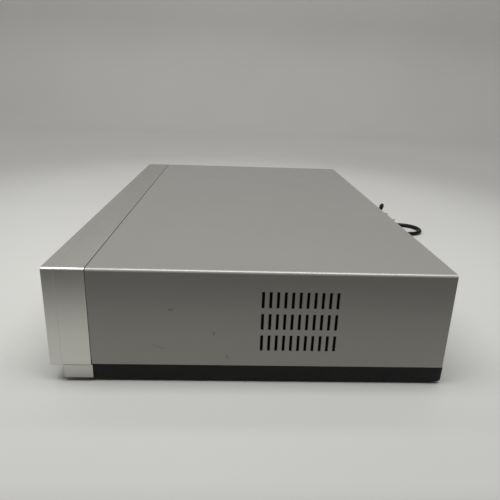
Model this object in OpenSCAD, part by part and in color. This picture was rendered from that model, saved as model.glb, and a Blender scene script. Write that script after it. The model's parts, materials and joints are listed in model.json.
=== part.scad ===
// DVD player and video cassette recorder in one case.
// Millimetres. +X is to the right of someone who faces the front, the front faces -Y, +Z is up.
// The origin is the middle of the footprint, on the floor.

/* [Case] */
// Width of the case
body_w = 430; // [400:1:470]
// Depth of the case, from the front face to the rear edge of the cover
body_d = 272; // [250:1:300]
// Height of the case above the floor
body_h = 84; // [82:1:96]
// Depth of the whole front panel along the sides
panel_d = 27.5; // [24:0.5:32]
// Depth of the front bezel
bezel_d = 8; // [7:0.5:10]
// Wall thickness of the front mouldings
panel_t = 2.5; // [2:0.1:3]
// Height of the panel's lower edge above the floor
panel_z = 13; // [11:0.5:14]
// How far the plinth is set back from the front face
plinth_back = 8.6; // [8.1:0.1:14]
// Height of the plinth's lower edge above the floor
plinth_z = 3; // [2.5:0.1:5]
// Gap between the front panel and the cover
seam_gap = 0.7; // [0.4:0.1:1.2]
// Thickness of the sheet steel of the cover and the rear panel
sheet_t = 1; // [0.8:0.1:1.2]
// Outer bend radius of the cover
cover_r = 2; // [1.5:0.1:3]
// Corner radius of the front panel
panel_r = 2.5; // [1.5:0.1:3]
// Height of the cover's lower edge above the floor
cover_z = 14.2; // [13:0.1:16]
// Thickness of the bottom pan
pan_t = 1.2; // [1:0.1:1.6]
// How far the pan's sides are set in from the case's sides
pan_in = 1.5; // [1.2:0.1:3]
// How far the pan's rear end is set in from the cover's rear edge
pan_rear_in = 3; // [2.5:0.1:5]
// Height of the feet
foot_h = 2; // [1.5:0.1:4]
// Diameter of the feet
foot_dia = 24; // [16:1:30]

/* [Vents] */
// Length of a vent slot
slot_len = 12; // [8:0.5:13]
// Width of a vent slot
slot_w = 2; // [1.2:0.1:2.8]
// Distance between neighbouring slots in a row
slot_pitch = 5; // [4:0.1:6]
// Slots in a row
slot_count = 11; // [3:1:13]
// Distance between rows
row_pitch = 16; // [14.5:0.5:18]
// Rows of slots
row_count = 3; // [1:1:3]
// Distance from the front face to the first slot
slot_start = 143.6; // [120:0.1:150]
// Height of the lowest row's middle above the floor
slot_z = 31.8; // [28:0.1:34]

/* [Keys] */
// How far a key stands out of the bezel
key_proud = 1; // [0.6:0.1:1.5]
// Travel of a key
key_travel = 1.2; // [0.8:0.1:1.4]
// Gap around a key in its hole
key_gap = 0.25; // [0.15:0.05:0.4]
// Height of the small keys
key_h = 7; // [5:0.5:8]
// Width of a tape key
tape_key_w = 17; // [10:0.5:19]
// Distance between neighbouring tape keys
tape_key_pitch = 22; // [20.5:0.5:23]
// Height of the row of tape keys above the floor
key_row_z = 28; // [26:0.5:30]

/* [Disc side] */
// Distance of the disc drive's middle from the case's left side
disc_side = 84; // [80:0.5:86]
// Width of the tray
tray_w = 138; // [134:1:140]
// Length of the tray
tray_len = 188; // [180:1:192]
// Height of the tray's underside above the floor
tray_z = 57; // [55:0.5:58]
// Thickness of the tray at its rim
tray_h = 9; // [8:0.5:10]
// Travel of the tray
tray_travel = 135; // [100:1:140]
// Width of the tray's fascia
fascia_w = 142; // [141:0.5:146]
// Height of the tray's fascia
fascia_h = 19; // [18:0.5:20]
// Diameter of a disc
disc_dia = 120; // [116:1:120]
// Distance from the front face to the spindle
spindle_back = 73; // [72:0.5:76]
// Module of the tray's rack and its gear
gear_module = 1; // [0.8:0.05:1.2]
// Teeth on the tray gear
gear_teeth = 20; // [16:1:22]
// Diameter of the turntable
turntable_dia = 30; // [26:1:32]

/* [Tape side] */
// Distance of the tape deck's middle from the case's right side
tape_side = 109; // [106:0.5:111]
// Width of a cassette
cassette_w = 188; // [186:1:189]
// Height of a cassette
cassette_h = 25; // [24:0.5:25.5]
// Gap around a cassette in its carrier
cassette_gap = 0.6; // [0.4:0.1:1]
// Height of the door's opening
door_h = 35; // [33:0.5:36]
// Height of the door opening's lower edge above the floor
door_z = 42; // [40:0.5:43]
// Length of the cassette carrier
carrier_len = 76; // [70:1:80]
// Travel of the cassette carrier
carrier_travel = 32; // [20:1:34]
// Height of the deck plate's top above the floor
deck_z = 27; // [26:0.5:28]
// Thickness of the deck plate
deck_t = 1.5; // [1.2:0.1:2]
// Distance between the two reel spindles
reel_pitch = 92; // [90:1:94]
// Diameter of the drum
drum_dia = 62; // [60:1:64]
// Tilt of the drum
drum_tilt = 5; // [3:0.5:6]
// Diameter of the capstan
capstan_dia = 4; // [3:0.5:5]
// Diameter of the pinch roller
pinch_dia = 14; // [12:1:16]

/* [Sockets and cord] */
// Diameter of the phono sockets
phono_dia = 8.3; // [8.2:0.1:8.5]
// Diameter of the coaxial sockets
coax_dia = 9.4; // [9:0.1:9.6]
// How far the coaxial sockets stand out behind the cover
coax_out = 12; // [10:0.5:14]
// Diameter of the mains cord
cord_dia = 5.5; // [5:0.1:5.6]

/* [Hidden] */
$fn = 48;
fit = 0.3; // clearance between pieces that sit side by side
run = 0.05; // radial clearance of a shaft in its bearing
eps = 0.01; // how far a cut runs past a face
half_w = body_w / 2;
disc_cx = disc_side - half_w;
tape_x = half_w - tape_side;
front_y = -(body_d + coax_out - key_proud) / 2;
rear_y = front_y + body_d;
panel_y = front_y + panel_d;
frame_y = front_y + bezel_d;
cover_y = panel_y + seam_gap;
plinth_y = front_y + plinth_back;
pan_x = half_w - pan_in;
pan_y = cover_y;
pan_rear = rear_y - pan_rear_in;
floor_z = foot_h + pan_t;
cover_in = body_h - sheet_t;
plate_y = rear_y - sheet_t; // outer face of the rear panel
post_dia = 7;
screw_dia = 3;
head_dia = 6;
head_h = 1.6;
board_t = 1.6;
main_board_z = floor_z + 4.8;

// display and keys on the front
window_z = 24;
window_h = 21;
window_t = 2;
face_gap = 0.3; // gap around the window and the fascia in the bezel
relief = 0.6; // depth of the grooves and the recesses in the faces
groove_w = 1; // width of the grooves
board_back = 9; // from the bezel's inner face to the key board
tape_keys = 6;
door_w = cassette_w + 8;
tape_key_x = tape_x - 92;
jack_x = tape_x + 47;
jack_pitch = 18;
// name order: power, open, channel up, channel down, source: place and size of each key
power_at = [-half_w + 24, key_row_z + 3, 22, 12];
open_at = [(disc_cx + fascia_w / 2 + tape_x - door_w / 2) / 2, 64, 18, key_h];
channel_x = tape_x - 118;
small_key_w = 13;
channel_up_at = [channel_x, key_row_z + 7, small_key_w, key_h];
channel_down_at = [channel_x, key_row_z - 5, small_key_w, key_h];
source_at = [channel_x - 18, key_row_z + 1, small_key_w, key_h];
window_x = disc_cx - 15;
window_w = source_at[0] - small_key_w / 2 - 5.5 - window_x;
// eject, rewind, stop, play, forward and record, from left to right
function tape_key_at(i) = [tape_key_x + i * tape_key_pitch, key_row_z, tape_key_w, key_h];

// heights and places of the disc drive
spindle_y = front_y + spindle_back;
fascia_t = 3;
tray_y = front_y + fascia_t;
tray_end = tray_y + tray_len;
fascia_z = tray_z + tray_h / 2 - fascia_h / 2 + 2.5;

all_keys = concat([power_at, open_at, channel_up_at, channel_down_at, source_at],
    [for (i = [0 : tape_keys - 1]) tape_key_at(i)]);
board_y = frame_y + board_back;
switch_y = board_y - 5;
// bosses on the bezel that the key boards are screwed to, as x and z
boss_dia = 5;
boss_z = key_row_z + key_h / 2 + 1 + fit + boss_dia / 2;
board_bosses = [[16 - half_w, 44], [window_x - 8, 22], [source_at[0], 44], [open_at[0], 53],
    [tape_key_x + tape_key_pitch / 2, boss_z],
    [half_w - 16, boss_z]];
// the key boards, as left, low, right and high
key_boards = [[8 - half_w, 19, channel_x + 8, 48], [open_at[0] - 14, 40, open_at[0] + 14, 72],
    [tape_key_x - 6, 20.5, half_w - 9, boss_z + 3]];
plinth_x = half_w - 0.5;
fold_gap = 0.2; // between the pan's rim and the cover
// tabs that the cover is screwed to the rear panel by
tab_x = [-half_w + 30, -55, half_w - 30];
tab_w = 16;
tab_drop = 12;
tab_z = body_h - tab_drop / 2;
ear_t = 3;
door_pin_dia = 3;
door_pin_y = front_y + 4.6;
door_pin_z = door_z + door_h - 2;
phono_hole = phono_dia + 3.4;
function jack_at(i) = jack_x + i * jack_pitch;
under_screw = 9;
foot_in = 38;
feet_at = [for (x = [-1, 1], y = [pan_y + foot_in, pan_rear - foot_in]) [x * (half_w - foot_in), y]];

// rear sockets and the mains inlet
coax_x = [tape_x - 85, tape_x - 60];
coax_z = body_h - 12;
rear_jack_x = tape_x - 36;
rear_jack_pitch = 14;
rear_jack_at = [for (i = [0 : 5], z = [30, 46]) [rear_jack_x + i * rear_jack_pitch, z]];
phono_len = 9;
cord_x = -145;
cord_z = 30;
relief_neck = 9;
relief_len = 28;
panel_in_y = plate_y - sheet_t; // inner face of the rear panel

// the insides that stand on the pan
deck_w = cassette_w + 12;
deck_front = front_y + 37;
deck_rear = deck_front + 192;
deck_posts = [for (x = [-1, 1], y = [deck_front + 7, deck_rear - 17]) [tape_x + x * (deck_w / 2 - 6), y]];
frame_side = tray_w / 2 + fit; // inner face of the loader frame's side
frame_wall = 2.7;
loader_z = tray_z - 11;
loader_front = front_y + 21;
loader_rear = front_y + 202;
loader_posts = [for (x = [-1, 1], y = [pan_y + 8, loader_front + 150])
    [disc_cx + x * (frame_side + frame_wall - 5), y]];
main_left = disc_cx + 81;
main_right = tape_x + deck_w / 2 - 14;
main_front = deck_front + 3;
main_rear = rear_y - 9;
power_left = disc_cx - 27;
power_right = disc_cx + 60;
power_front = main_rear - 56;
transformer_x = -half_w + 33;
transformer_y = rear_y - 34;
board_posts = [[main_left + 6, main_front + 6], [main_left + 6, main_rear - 6],
    [main_right - 6, main_front + 12],
    [main_right - 6, main_rear - 6], [power_left + 5, power_front + 5], [power_right - 5, power_front + 5],
    [power_left + 5, main_rear - 5], [power_right - 5, main_rear - 5]];

// a block between two corners
module block(low, high) {
    translate(low) cube(high - low);
}

// a rectangle with its corners rounded by circles
module round_rect(w, h, r) {
    translate([-w / 2 + r, -h / 2]) square([w - 2 * r, h]);
    translate([-w / 2, -h / 2 + r]) square([w, h - 2 * r]);
    for (x = [-1, 1], y = [-1, 1])
        translate([x * (w / 2 - r), y * (h / 2 - r)]) circle(r);
}

// a rod along +Y from y0 to y1
module rod_y(x, y0, y1, z, dia) {
    translate([x, y0, z]) rotate([-90, 0, 0]) cylinder(h = y1 - y0, d = dia);
}

// a rod along +X from x0 to x1
module rod_x(x0, x1, y, z, dia) {
    translate([x0, y, z]) rotate([0, 90, 0]) cylinder(h = x1 - x0, d = dia);
}

// a rod along +Z from z0 to z1
module rod_z(x, y, z0, z1, dia) {
    translate([x, y, z0]) cylinder(h = z1 - z0, d = dia);
}

// an upright outline, drawn in X and Z, from y0 to y1
module upright(y0, y1) {
    translate([0, y1, 0]) rotate([90, 0, 0]) linear_extrude(y1 - y0) children();
}

// outline of the case's front view, rounded by r at the top only, grown by g
module case_outline(z0, z1, r, g = 0) {
    translate([-half_w - g, z0 - g]) square([body_w + 2 * g, z1 - z0 + 2 * g - r]);
    translate([-half_w - g + r, z0 - g]) square([body_w + 2 * g - 2 * r, z1 - z0 + 2 * g]);
    for (x = [-1, 1]) translate([x * (half_w + g - r), z1 + g - r]) circle(r);
}

// one field of vent slots through a side wall, as upright cutters
module vent_field() {
    for (row = [0 : row_count - 1], i = [0 : slot_count - 1])
        translate([0, front_y + slot_start + i * slot_pitch, slot_z + row * row_pitch])
            cube([body_w + 2, slot_w, slot_len], center = true);
}

module top_cover() {
    color([0.6, 0.6, 0.585]) difference() {
        union() {
            difference() {
                upright(cover_y, rear_y) case_outline(cover_z, body_h, cover_r);
                upright(cover_y - 1, rear_y + 1) case_outline(cover_z - 5, body_h, cover_r - sheet_t,
                    -sheet_t);
            }
            for (x = tab_x)
                block([x - tab_w / 2, plate_y, body_h - tab_drop],
                    [x + tab_w / 2, rear_y, body_h - sheet_t / 2]);
        }
        vent_field();
        for (x = tab_x) rod_y(x, plate_y - 1, rear_y + 1, tab_z, screw_dia + 0.4);
    }
}

// the front panel: a ring behind the bezel, with the plinth under it
module front_panel() {
    color([0.64, 0.64, 0.62]) {
        difference() {
            upright(frame_y, panel_y) case_outline(panel_z, body_h, panel_r);
            upright(frame_y - 1, panel_y + 1) case_outline(panel_z, body_h, 1, -panel_t);
        }
        difference() {
            block([-plinth_x, plinth_y, plinth_z], [plinth_x, pan_y, panel_z]);
            block([panel_t - plinth_x, plinth_y + panel_t, plinth_z + panel_t],
                [plinth_x - panel_t, pan_y + 1, panel_z + 1]);
        }
        // ribs that stiffen the plinth
        for (x = [-0.6, -0.2, 0.2, 0.6])
            block([x * half_w - 1, plinth_y + panel_t, plinth_z + panel_t],
                [x * half_w + 1, panel_y - 2, panel_z]);
    }
}

// an opening through the bezel, w by h, around (x, z)
module face_hole(x, z, w, h) {
    block([x - w / 2, front_y - 1, z - h / 2], [x + w / 2, front_y + panel_t + 1, z + h / 2]);
}

// the bezel: a face with a rim behind it, and an opening for each thing on the front
module front_bezel() {
    color([0.68, 0.68, 0.66]) difference() {
        union() {
            difference() {
                upright(front_y, frame_y) case_outline(panel_z, body_h, panel_r);
                upright(front_y + panel_t, frame_y + 1) case_outline(panel_z, body_h, 1, -panel_t);
            }
            // ears that hold the door's pins
            for (s = [-1, 1]) translate([tape_x + s * (door_w / 2 + face_gap + ear_t / 2), 0, 0])
                block([-ear_t / 2, front_y + panel_t, door_pin_z - 4],
                    [ear_t / 2, door_pin_y + 4, door_pin_z + 4]);
            for (b = board_bosses) rod_y(b[0], front_y + panel_t - eps, board_y, b[1], boss_dia);
            // a ledge around the window's recess
            block([window_x - 2, front_y + panel_t, window_z - 2],
                [window_x + window_w + 2, front_y + window_t + 2, window_z + window_h + 2]);
        }
        // the window sits in a recess, with a smaller opening behind it
        block([window_x - face_gap, front_y - 1, window_z - face_gap],
            [window_x + window_w + face_gap, front_y + window_t, window_z + window_h + face_gap]);
        block([window_x + 3, front_y, window_z + 3],
            [window_x + window_w - 3, frame_y, window_z + window_h - 3]);
        // groove across the face, over its lower lip
        block([6 - half_w, front_y - 1, panel_z + 4], [half_w - 6, front_y + relief, panel_z + 4 + groove_w]);
        face_hole(disc_cx, fascia_z + fascia_h / 2, fascia_w + 2 * face_gap, fascia_h + 2 * face_gap);
        face_hole(tape_x, door_z + door_h / 2, door_w + 2 * face_gap, door_h + 2 * face_gap);
        for (k = all_keys) face_hole(k[0], k[1], k[2] + 2 * key_gap, k[3] + 2 * key_gap);
        for (i = [0 : 2]) rod_y(jack_at(i), front_y - 1, frame_y, key_row_z, phono_hole);
        rod_x(tape_x - door_w / 2 - ear_t - 1, tape_x + door_w / 2 + ear_t + 1, door_pin_y, door_pin_z,
            door_pin_dia + 2 * run);
    }
}

// the pan's outline from above
module pan_outline(g = 0) {
    translate([-pan_x - g, pan_y - g]) square([2 * pan_x + 2 * g, pan_rear - pan_y + 2 * g]);
}

// the bottom pan, with the pressed posts that the insides stand on
module bottom_chassis() {
    color([0.13, 0.13, 0.14]) difference() {
        union() {
            difference() {
                translate([0, 0, foot_h]) linear_extrude(cover_z - fold_gap - foot_h) pan_outline();
                translate([0, 0, floor_z]) linear_extrude(body_h) pan_outline(-pan_t);
            }
            for (p = board_posts) rod_z(p[0], p[1], floor_z, main_board_z, post_dia);
            for (p = deck_posts) rod_z(p[0], p[1], floor_z, deck_z - deck_t, post_dia + 2);
            for (p = loader_posts) rod_z(p[0], p[1], floor_z, loader_z, post_dia + 2);
            block([transformer_x - 20, transformer_y - 20, floor_z],
                [transformer_x + 20, transformer_y + 20, floor_z + 2]);
        }
        // pilot holes for the screws that come up from below
        for (p = concat(deck_posts, loader_posts))
            rod_z(p[0], p[1], foot_h - 1, foot_h + under_screw, screw_dia + 2 * run);
        // cooling slots under the power supply
        for (i = [0 : 8]) block([disc_cx - 22 + 8 * i, rear_y - 50, foot_h - 1],
            [disc_cx - 19 + 8 * i, rear_y - 24, floor_z + 1]);
    }
}

// the rear panel, with a fold at its foot that rests on the pan's rim
module rear_panel() {
    color([0.36, 0.36, 0.37]) difference() {
        union() {
            block([fit - half_w + sheet_t, plate_y - sheet_t, cover_z - fold_gap],
                [half_w - sheet_t - fit, plate_y, cover_in - fit]);
            block([fit - half_w + sheet_t, pan_rear - pan_t, cover_z - fold_gap],
                [half_w - sheet_t - fit, plate_y - sheet_t, cover_z - fold_gap + sheet_t]);
        }
        for (x = tab_x) rod_y(x, plate_y - 2 * sheet_t, rear_y, tab_z, screw_dia + 2 * run);
        for (x = coax_x) rod_y(x, plate_y - 2 * sheet_t, rear_y, coax_z, coax_dia + 2);
        for (p = rear_jack_at) rod_y(p[0], plate_y - 2 * sheet_t, rear_y, p[1], phono_dia + 1.4);
        rod_y(cord_x, plate_y - 2 * sheet_t, rear_y, cord_z, relief_neck + 2 * run);
        // louvres beside the power supply
        for (i = [0 : 6]) block([disc_cx + 14 + 6 * i, plate_y - 2 * sheet_t, 30],
            [disc_cx + 16.5 + 6 * i, rear_y, 58]);
    }
}

// four feet, in the corners
module feet() {
    color([0.1, 0.1, 0.1]) for (p = feet_at) translate([p[0], p[1], 0]) rotate_extrude()
        polygon([[0, 0], [foot_dia / 2 - 0.6, 0], [foot_dia / 2, 0.6], [foot_dia / 2, foot_h],
            [0, foot_h]]);
}

// a pan-head screw whose head's seat is at the origin and whose shaft runs along -Z
module screw(length) {
    translate([0, 0, -length]) cylinder(h = length, d = screw_dia);
    difference() {
        rotate_extrude() polygon([[0, 0], [head_dia / 2, 0], [head_dia / 2, head_h * 0.5],
            [head_dia / 3, head_h], [0, head_h]]);
        for (a = [0, 90]) rotate(a) translate([0, 0, head_h]) cube([head_dia * 0.55, 0.8, head_h],
            center = true);
    }
}

// the cover's screws at the rear and the screws under the pan
module screws() {
    color([0.25, 0.25, 0.26]) {
        for (x = tab_x) translate([x, rear_y, tab_z]) rotate([-90, 0, 0]) screw(6);
        for (p = concat(deck_posts, loader_posts))
            translate([p[0], p[1], foot_h]) rotate([180, 0, 0]) screw(under_screw - 1);
    }
}

// the smoked window in front of the display
module display_window() {
    color([0.05, 0.05, 0.06, 0.8]) block([window_x, front_y, window_z],
        [window_x + window_w, front_y + window_t, window_z + window_h]);
}

// the display tube on its board, behind the window
module display_module() {
    low = window_z + 4;
    high = window_z + window_h - 4;
    color([0.1, 0.28, 0.26]) {
        block([window_x + 6, frame_y - 3.5, low], [window_x + window_w - 6, frame_y + 2, high]);
        block([window_x, frame_y + 2, low - 3], [window_x + window_w, board_y, high + 3]);
    }
}

// the boards of the keys' switches: each switch stands just behind its key's stem
module key_board() {
    color([0.16, 0.3, 0.18]) {
        for (b = key_boards) block([b[0], board_y, b[1]], [b[2], board_y + board_t, b[3]]);
        for (k = all_keys) {
            block([k[0] - 3, switch_y + 1, k[1] - 3], [k[0] + 3, board_y, k[1] + 3]);
            rod_y(k[0], switch_y, switch_y + 1.5, k[1], 3.4);
        }
    }
}

// a phono socket that stands on z = 0 and opens at its top: a barrel around a drilled core
module phono() {
    difference() {
        cylinder(h = phono_len, d = phono_dia);
        translate([0, 0, 2]) cylinder(h = phono_len, d = phono_dia - 1);
    }
    difference() {
        cylinder(h = phono_len - 1, d = phono_dia - 2.6);
        translate([0, 0, 2]) cylinder(h = phono_len, d = 3.2);
    }
}

// the phono sockets on the front
module front_jacks() {
    color([0.7, 0.68, 0.3]) for (i = [0 : 2]) {
        translate([jack_at(i), front_y + phono_len, key_row_z]) rotate([90, 0, 0]) phono();
        block([jack_at(i) - 7, front_y + phono_len, key_row_z - 6.5],
            [jack_at(i) + 7, board_y, key_row_z + 6.5]);
    }
}

// an upright capacitor that stands on a board
module capacitor(x, y, z, dia, h) {
    translate([x, y, z]) rotate_extrude()
        polygon([[0, 0], [dia / 2, 0], [dia / 2, h - 0.8], [dia / 2 - 0.8, h], [0, h]]);
}

// the main board, with holes where the deck's posts pass
module main_board() {
    top = main_board_z + board_t;
    color([0.1, 0.32, 0.16]) {
        difference() {
            block([main_left, main_front, main_board_z], [main_right, main_rear, top]);
            for (p = deck_posts) rod_z(p[0], p[1], main_board_z - 1, top + 1, post_dia + 4);
        }
        // chips: place of the middle from the board's front left corner, and length of the sides
        for (c = [[30, 42, 24, 24], [80, 62, 28, 28], [25, 112, 18, 30], [110, 42, 14, 24],
            [170, 52, 20, 20]])
            translate([main_left + c[0], main_front + c[1], top + 1]) cube([c[2], c[3], 2.02],
                center = true);
        for (i = [0 : 4]) capacitor(main_left + 10 + 10 * i, main_front + 146, top, 8, 11.5);
        for (i = [0 : 3]) capacitor(main_left + 10 + 10 * i, main_front + 160, top, 6.3, 11);
        for (i = [0 : 2]) block([main_left + 6 + 16 * i, main_front + 170, top],
            [main_left + 18 + 16 * i, main_front + 176, top + 9]);
    }
}

// the switching power supply's board
module power_board() {
    top = main_board_z + board_t;
    rear = main_rear;
    color([0.55, 0.42, 0.2]) {
        block([power_left, power_front, main_board_z], [power_right, rear, top]);
        capacitor(power_left + 17, power_front + 16, top, 22, 34);
        for (i = [0 : 3]) capacitor(power_left + 38 + 13 * i, rear - 8, top, 10, 18);
        block([power_left + 34, power_front + 4, top], [power_left + 56, power_front + 22, top + 20]);
        block([power_left + 8, rear - 14, top], [power_left + 26, rear - 4, top + 10]);
    }
}

// the mains transformer: a laminated core with its bobbin, standing on the pan
module transformer() {
    base = floor_z + 2;
    color([0.35, 0.33, 0.3]) {
        difference() {
            block([transformer_x - 19, transformer_y - 16, base],
                [transformer_x + 19, transformer_y + 16, base + 32]);
            for (s = [-1, 1]) block([transformer_x - 10, transformer_y + s * 11 - 4, base + 6],
                [transformer_x + 10, transformer_y + s * 11 + 8, base + 26]);
        }
        block([transformer_x - 14, transformer_y - 20, base + 3],
            [transformer_x + 14, transformer_y - 16, base + 29]);
        block([transformer_x - 14, transformer_y + 16, base + 3],
            [transformer_x + 14, transformer_y + 20, base + 29]);
    }
}

// the heat sink: upright fins on a wall
module heat_sink() {
    low = main_board_z + board_t;
    left = power_left + 62;
    front = power_front + 6;
    fins = 8;
    color([0.75, 0.76, 0.78]) {
        block([left, front, low], [left + 30, front + 3, low + 28]);
        for (i = [0 : fins - 1]) block([left + i * 28.5 / (fins - 1), front + 3, low],
            [left + 1.5 + i * 28.5 / (fins - 1), front + 15, low + 28]);
    }
}

// the tuner's can, with two coaxial sockets through the rear panel
module tuner() {
    color([0.72, 0.71, 0.68]) {
        difference() {
            block([coax_x[0] - 10, panel_in_y - 46, coax_z - 20], [coax_x[1] + 10, panel_in_y, coax_z + 9]);
            for (i = [0 : 4]) block([coax_x[0] - 4 + 7 * i, panel_in_y - 38, coax_z + 8],
                [coax_x[0] - 1 + 7 * i, panel_in_y - 10, coax_z + 10]);
        }
        for (x = coax_x) {
            rod_y(x, panel_in_y - eps, plate_y + 1.2, coax_z, coax_dia + 1.6);
            difference() {
                rod_y(x, plate_y, rear_y + coax_out, coax_z, coax_dia);
                rod_y(x, rear_y + 3, rear_y + coax_out + 1, coax_z, coax_dia - 2);
            }
            difference() {
                rod_y(x, plate_y, rear_y + coax_out - 0.6, coax_z, coax_dia - 2.6);
                rod_y(x, rear_y + 3, rear_y + coax_out, coax_z, 1.4);
            }
            // hexagon nut
            translate([x, plate_y + 2.9, coax_z]) rotate([90, 0, 0]) cylinder(h = 2.4,
                d = coax_dia + 5, $fn = 6);
        }
    }
}

// the phono sockets on the rear, in their housing
module rear_jacks() {
    low = rear_jack_at[0][1] - 7;
    high = rear_jack_at[1][1] + 7;
    color([0.15, 0.15, 0.16]) {
        block([rear_jack_x - 8, panel_in_y - 12, low - 2],
            [rear_jack_x + 5 * rear_jack_pitch + 8, panel_in_y, high]);
        // its foot on the main board
        block([rear_jack_x - 8, panel_in_y - 12, main_board_z + board_t],
            [rear_jack_x + 5 * rear_jack_pitch + 8, main_rear, low]);
        for (p = rear_jack_at) {
            rod_y(p[0], panel_in_y - eps, plate_y + 0.6, p[1], phono_dia + 1);
            translate([p[0], plate_y + 0.4, p[1]]) rotate([-90, 0, 0]) phono();
        }
    }
}

// the strain relief: it is held in the rear panel by a groove between two flanges
module strain_relief() {
    color([0.07, 0.07, 0.07]) translate([cord_x, plate_y, cord_z]) rotate([-90, 0, 0]) {
        translate([0, 0, -sheet_t]) cylinder(h = sheet_t, d = relief_neck);
        translate([0, 0, -sheet_t - 4]) cylinder(h = 4, d = 13);
        cylinder(h = 3, d = 13);
        translate([0, 0, 3 - eps]) cylinder(h = relief_len - 3, d1 = 10.5, d2 = cord_dia + 1.2);
    }
}

// the mains cord's route, from the strain relief down to the floor, round a bend and to the coil
cord_low = 2.8;
cord_path = [[-145, 157.5, 30], [-145, 161, 30], [-145, 168, 29], [-145.3, 176, 26], [-145.8, 182, 22],
    [-146.4, 187.5, 16.5], [-147.2, 193, 11], [-148.2, 199, 6.8], [-149.8, 207, 3.8],
    [-151.6, 215, cord_low], [-153.2, 222, cord_low], [-154.8, 230, cord_low], [-156.1, 238, cord_low],
    [-159.2, 248.7, cord_low], [-167.8, 257.3, cord_low], [-179.5, 260.4, cord_low],
    [-191.2, 257.3, cord_low], [-199.8, 248.7, cord_low], [-202.9, 237, cord_low],
    [-205.3, 222, cord_low], [-208, 206, cord_low], [-210.5, 190, cord_low]];
coil_at = [-246, 188.5];
coil_r = [21.7, 38.4];
coil_h = 11.1;
plug_turn = 40; // where around the coil the plug's tail lies
plug_r = 24.5; // and how far from the coil's middle
plug_len = 40;

// the point of a path before and after point i
function before(path, i) = path[max(i - 1, 0)];
function after(path, i) = path[min(i + 1, len(path) - 1)];
function unit(v) = v / norm(v);

// a tube around a path: one ring of corners at each point, square to the way the path runs
module tube(path, dia, sides = 10) {
    rings = len(path);
    corners = [for (i = [0 : rings - 1]) let (
            along = unit(after(path, i) - before(path, i)),
            side = unit(cross(along, [0, 0, 1])),
            up = cross(side, along))
            for (k = [0 : sides - 1])
                path[i] + dia / 2 * (cos(k * 360 / sides) * side + sin(k * 360 / sides) * up)];
    walls = [for (i = [0 : rings - 2], k = [0 : sides - 1])
        [i * sides + k, i * sides + (k + 1) % sides, (i + 1) * sides + (k + 1) % sides,
            (i + 1) * sides + k]];
    ends = [[for (k = [0 : sides - 1]) sides - 1 - k], [for (k = [0 : sides - 1]) (rings - 1) * sides + k]];
    polyhedron(points = corners, faces = concat(walls, ends), convexity = 6);
}

module power_cord() {
    color([0.06, 0.06, 0.06]) tube(cord_path, cord_dia);
}

// the rest of the cord, wound up: the outer shape of its turns
module cord_coil() {
    color([0.07, 0.07, 0.07]) translate([coil_at[0], coil_at[1], 0]) rotate_extrude()
        translate([coil_r[0], 0]) square([coil_r[1] - coil_r[0], coil_h]);
}

// a flat two-blade plug that lies on the coil, where the last turn leads to it
module mains_plug() {
    tail = 10;
    plug_h = 12;
    color([0.08, 0.08, 0.08]) translate([coil_at[0], coil_at[1], coil_h]) rotate(plug_turn)
        translate([plug_r, 0, 0]) rotate(-90) {
            difference() {
                translate([tail, -12, 0]) cube([plug_len - tail, 24, plug_h]);
                for (s = [-1, 1]) translate([plug_len - 16, s * 14, -1]) cylinder(h = plug_h + 2, r = 4);
            }
            translate([0, 0, plug_h / 2]) rotate([0, 90, 0]) cylinder(h = tail + eps,
                d1 = cord_dia + 1.5, d2 = 9);
            for (s = [-1, 1]) translate([plug_len - 1, s * 6.35 - 0.75, 3]) cube([18, 1.5, 6.3]);
        }
}

// ---- disc drive ----
tray_top = tray_z + tray_h;
tray_floor = tray_top - 3.6; // bottom of the well for the disc
tray_under = tray_floor - 1.6; // underside of the tray between its rails
slot_r = 21;
disc_z = tray_floor + 0.6; // underside of a disc on the turntable
rail_w = 3;
frame_floor = loader_z + 2;
frame_top = tray_top + 3;
gear_r = gear_module * gear_teeth / 2;
gear_cx = disc_cx + 42;
gear_cy = front_y + 37;
rack_x = gear_cx + gear_r;
gear_pin = 3;
gear_h = tray_under - tray_z - 0.5;
pulley_r = 13;
pulley_z = frame_floor + 3.5;
pulley_h = 4;
motor_cx = gear_cx - 37;
motor_pulley_r = 3.5;
belt_z = pulley_z + 0.9;
belt_t = 1.2;
traverse_front = spindle_y - 20;
hinge_y = spindle_y + 85;
hinge_z = loader_z + 2;
hinge_dia = 4;
traverse_x = 46;
traverse_z = hinge_z - 1.5;
traverse_t = 3;
rod_z0 = traverse_z + traverse_t + 3;
rod_x0 = 26;
rod_dia = 3;
rod_front = spindle_y + 8;
rod_rear = spindle_y + 74;
screw_x0 = -36;
pickup_y = spindle_y + 24;
pickup_len = 22;
spindle_dia = 2;
motor_top = tray_z - 0.5;
clamp_gap = 0.5;
bridge_t = 2;
bridge_y = 16;

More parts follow.
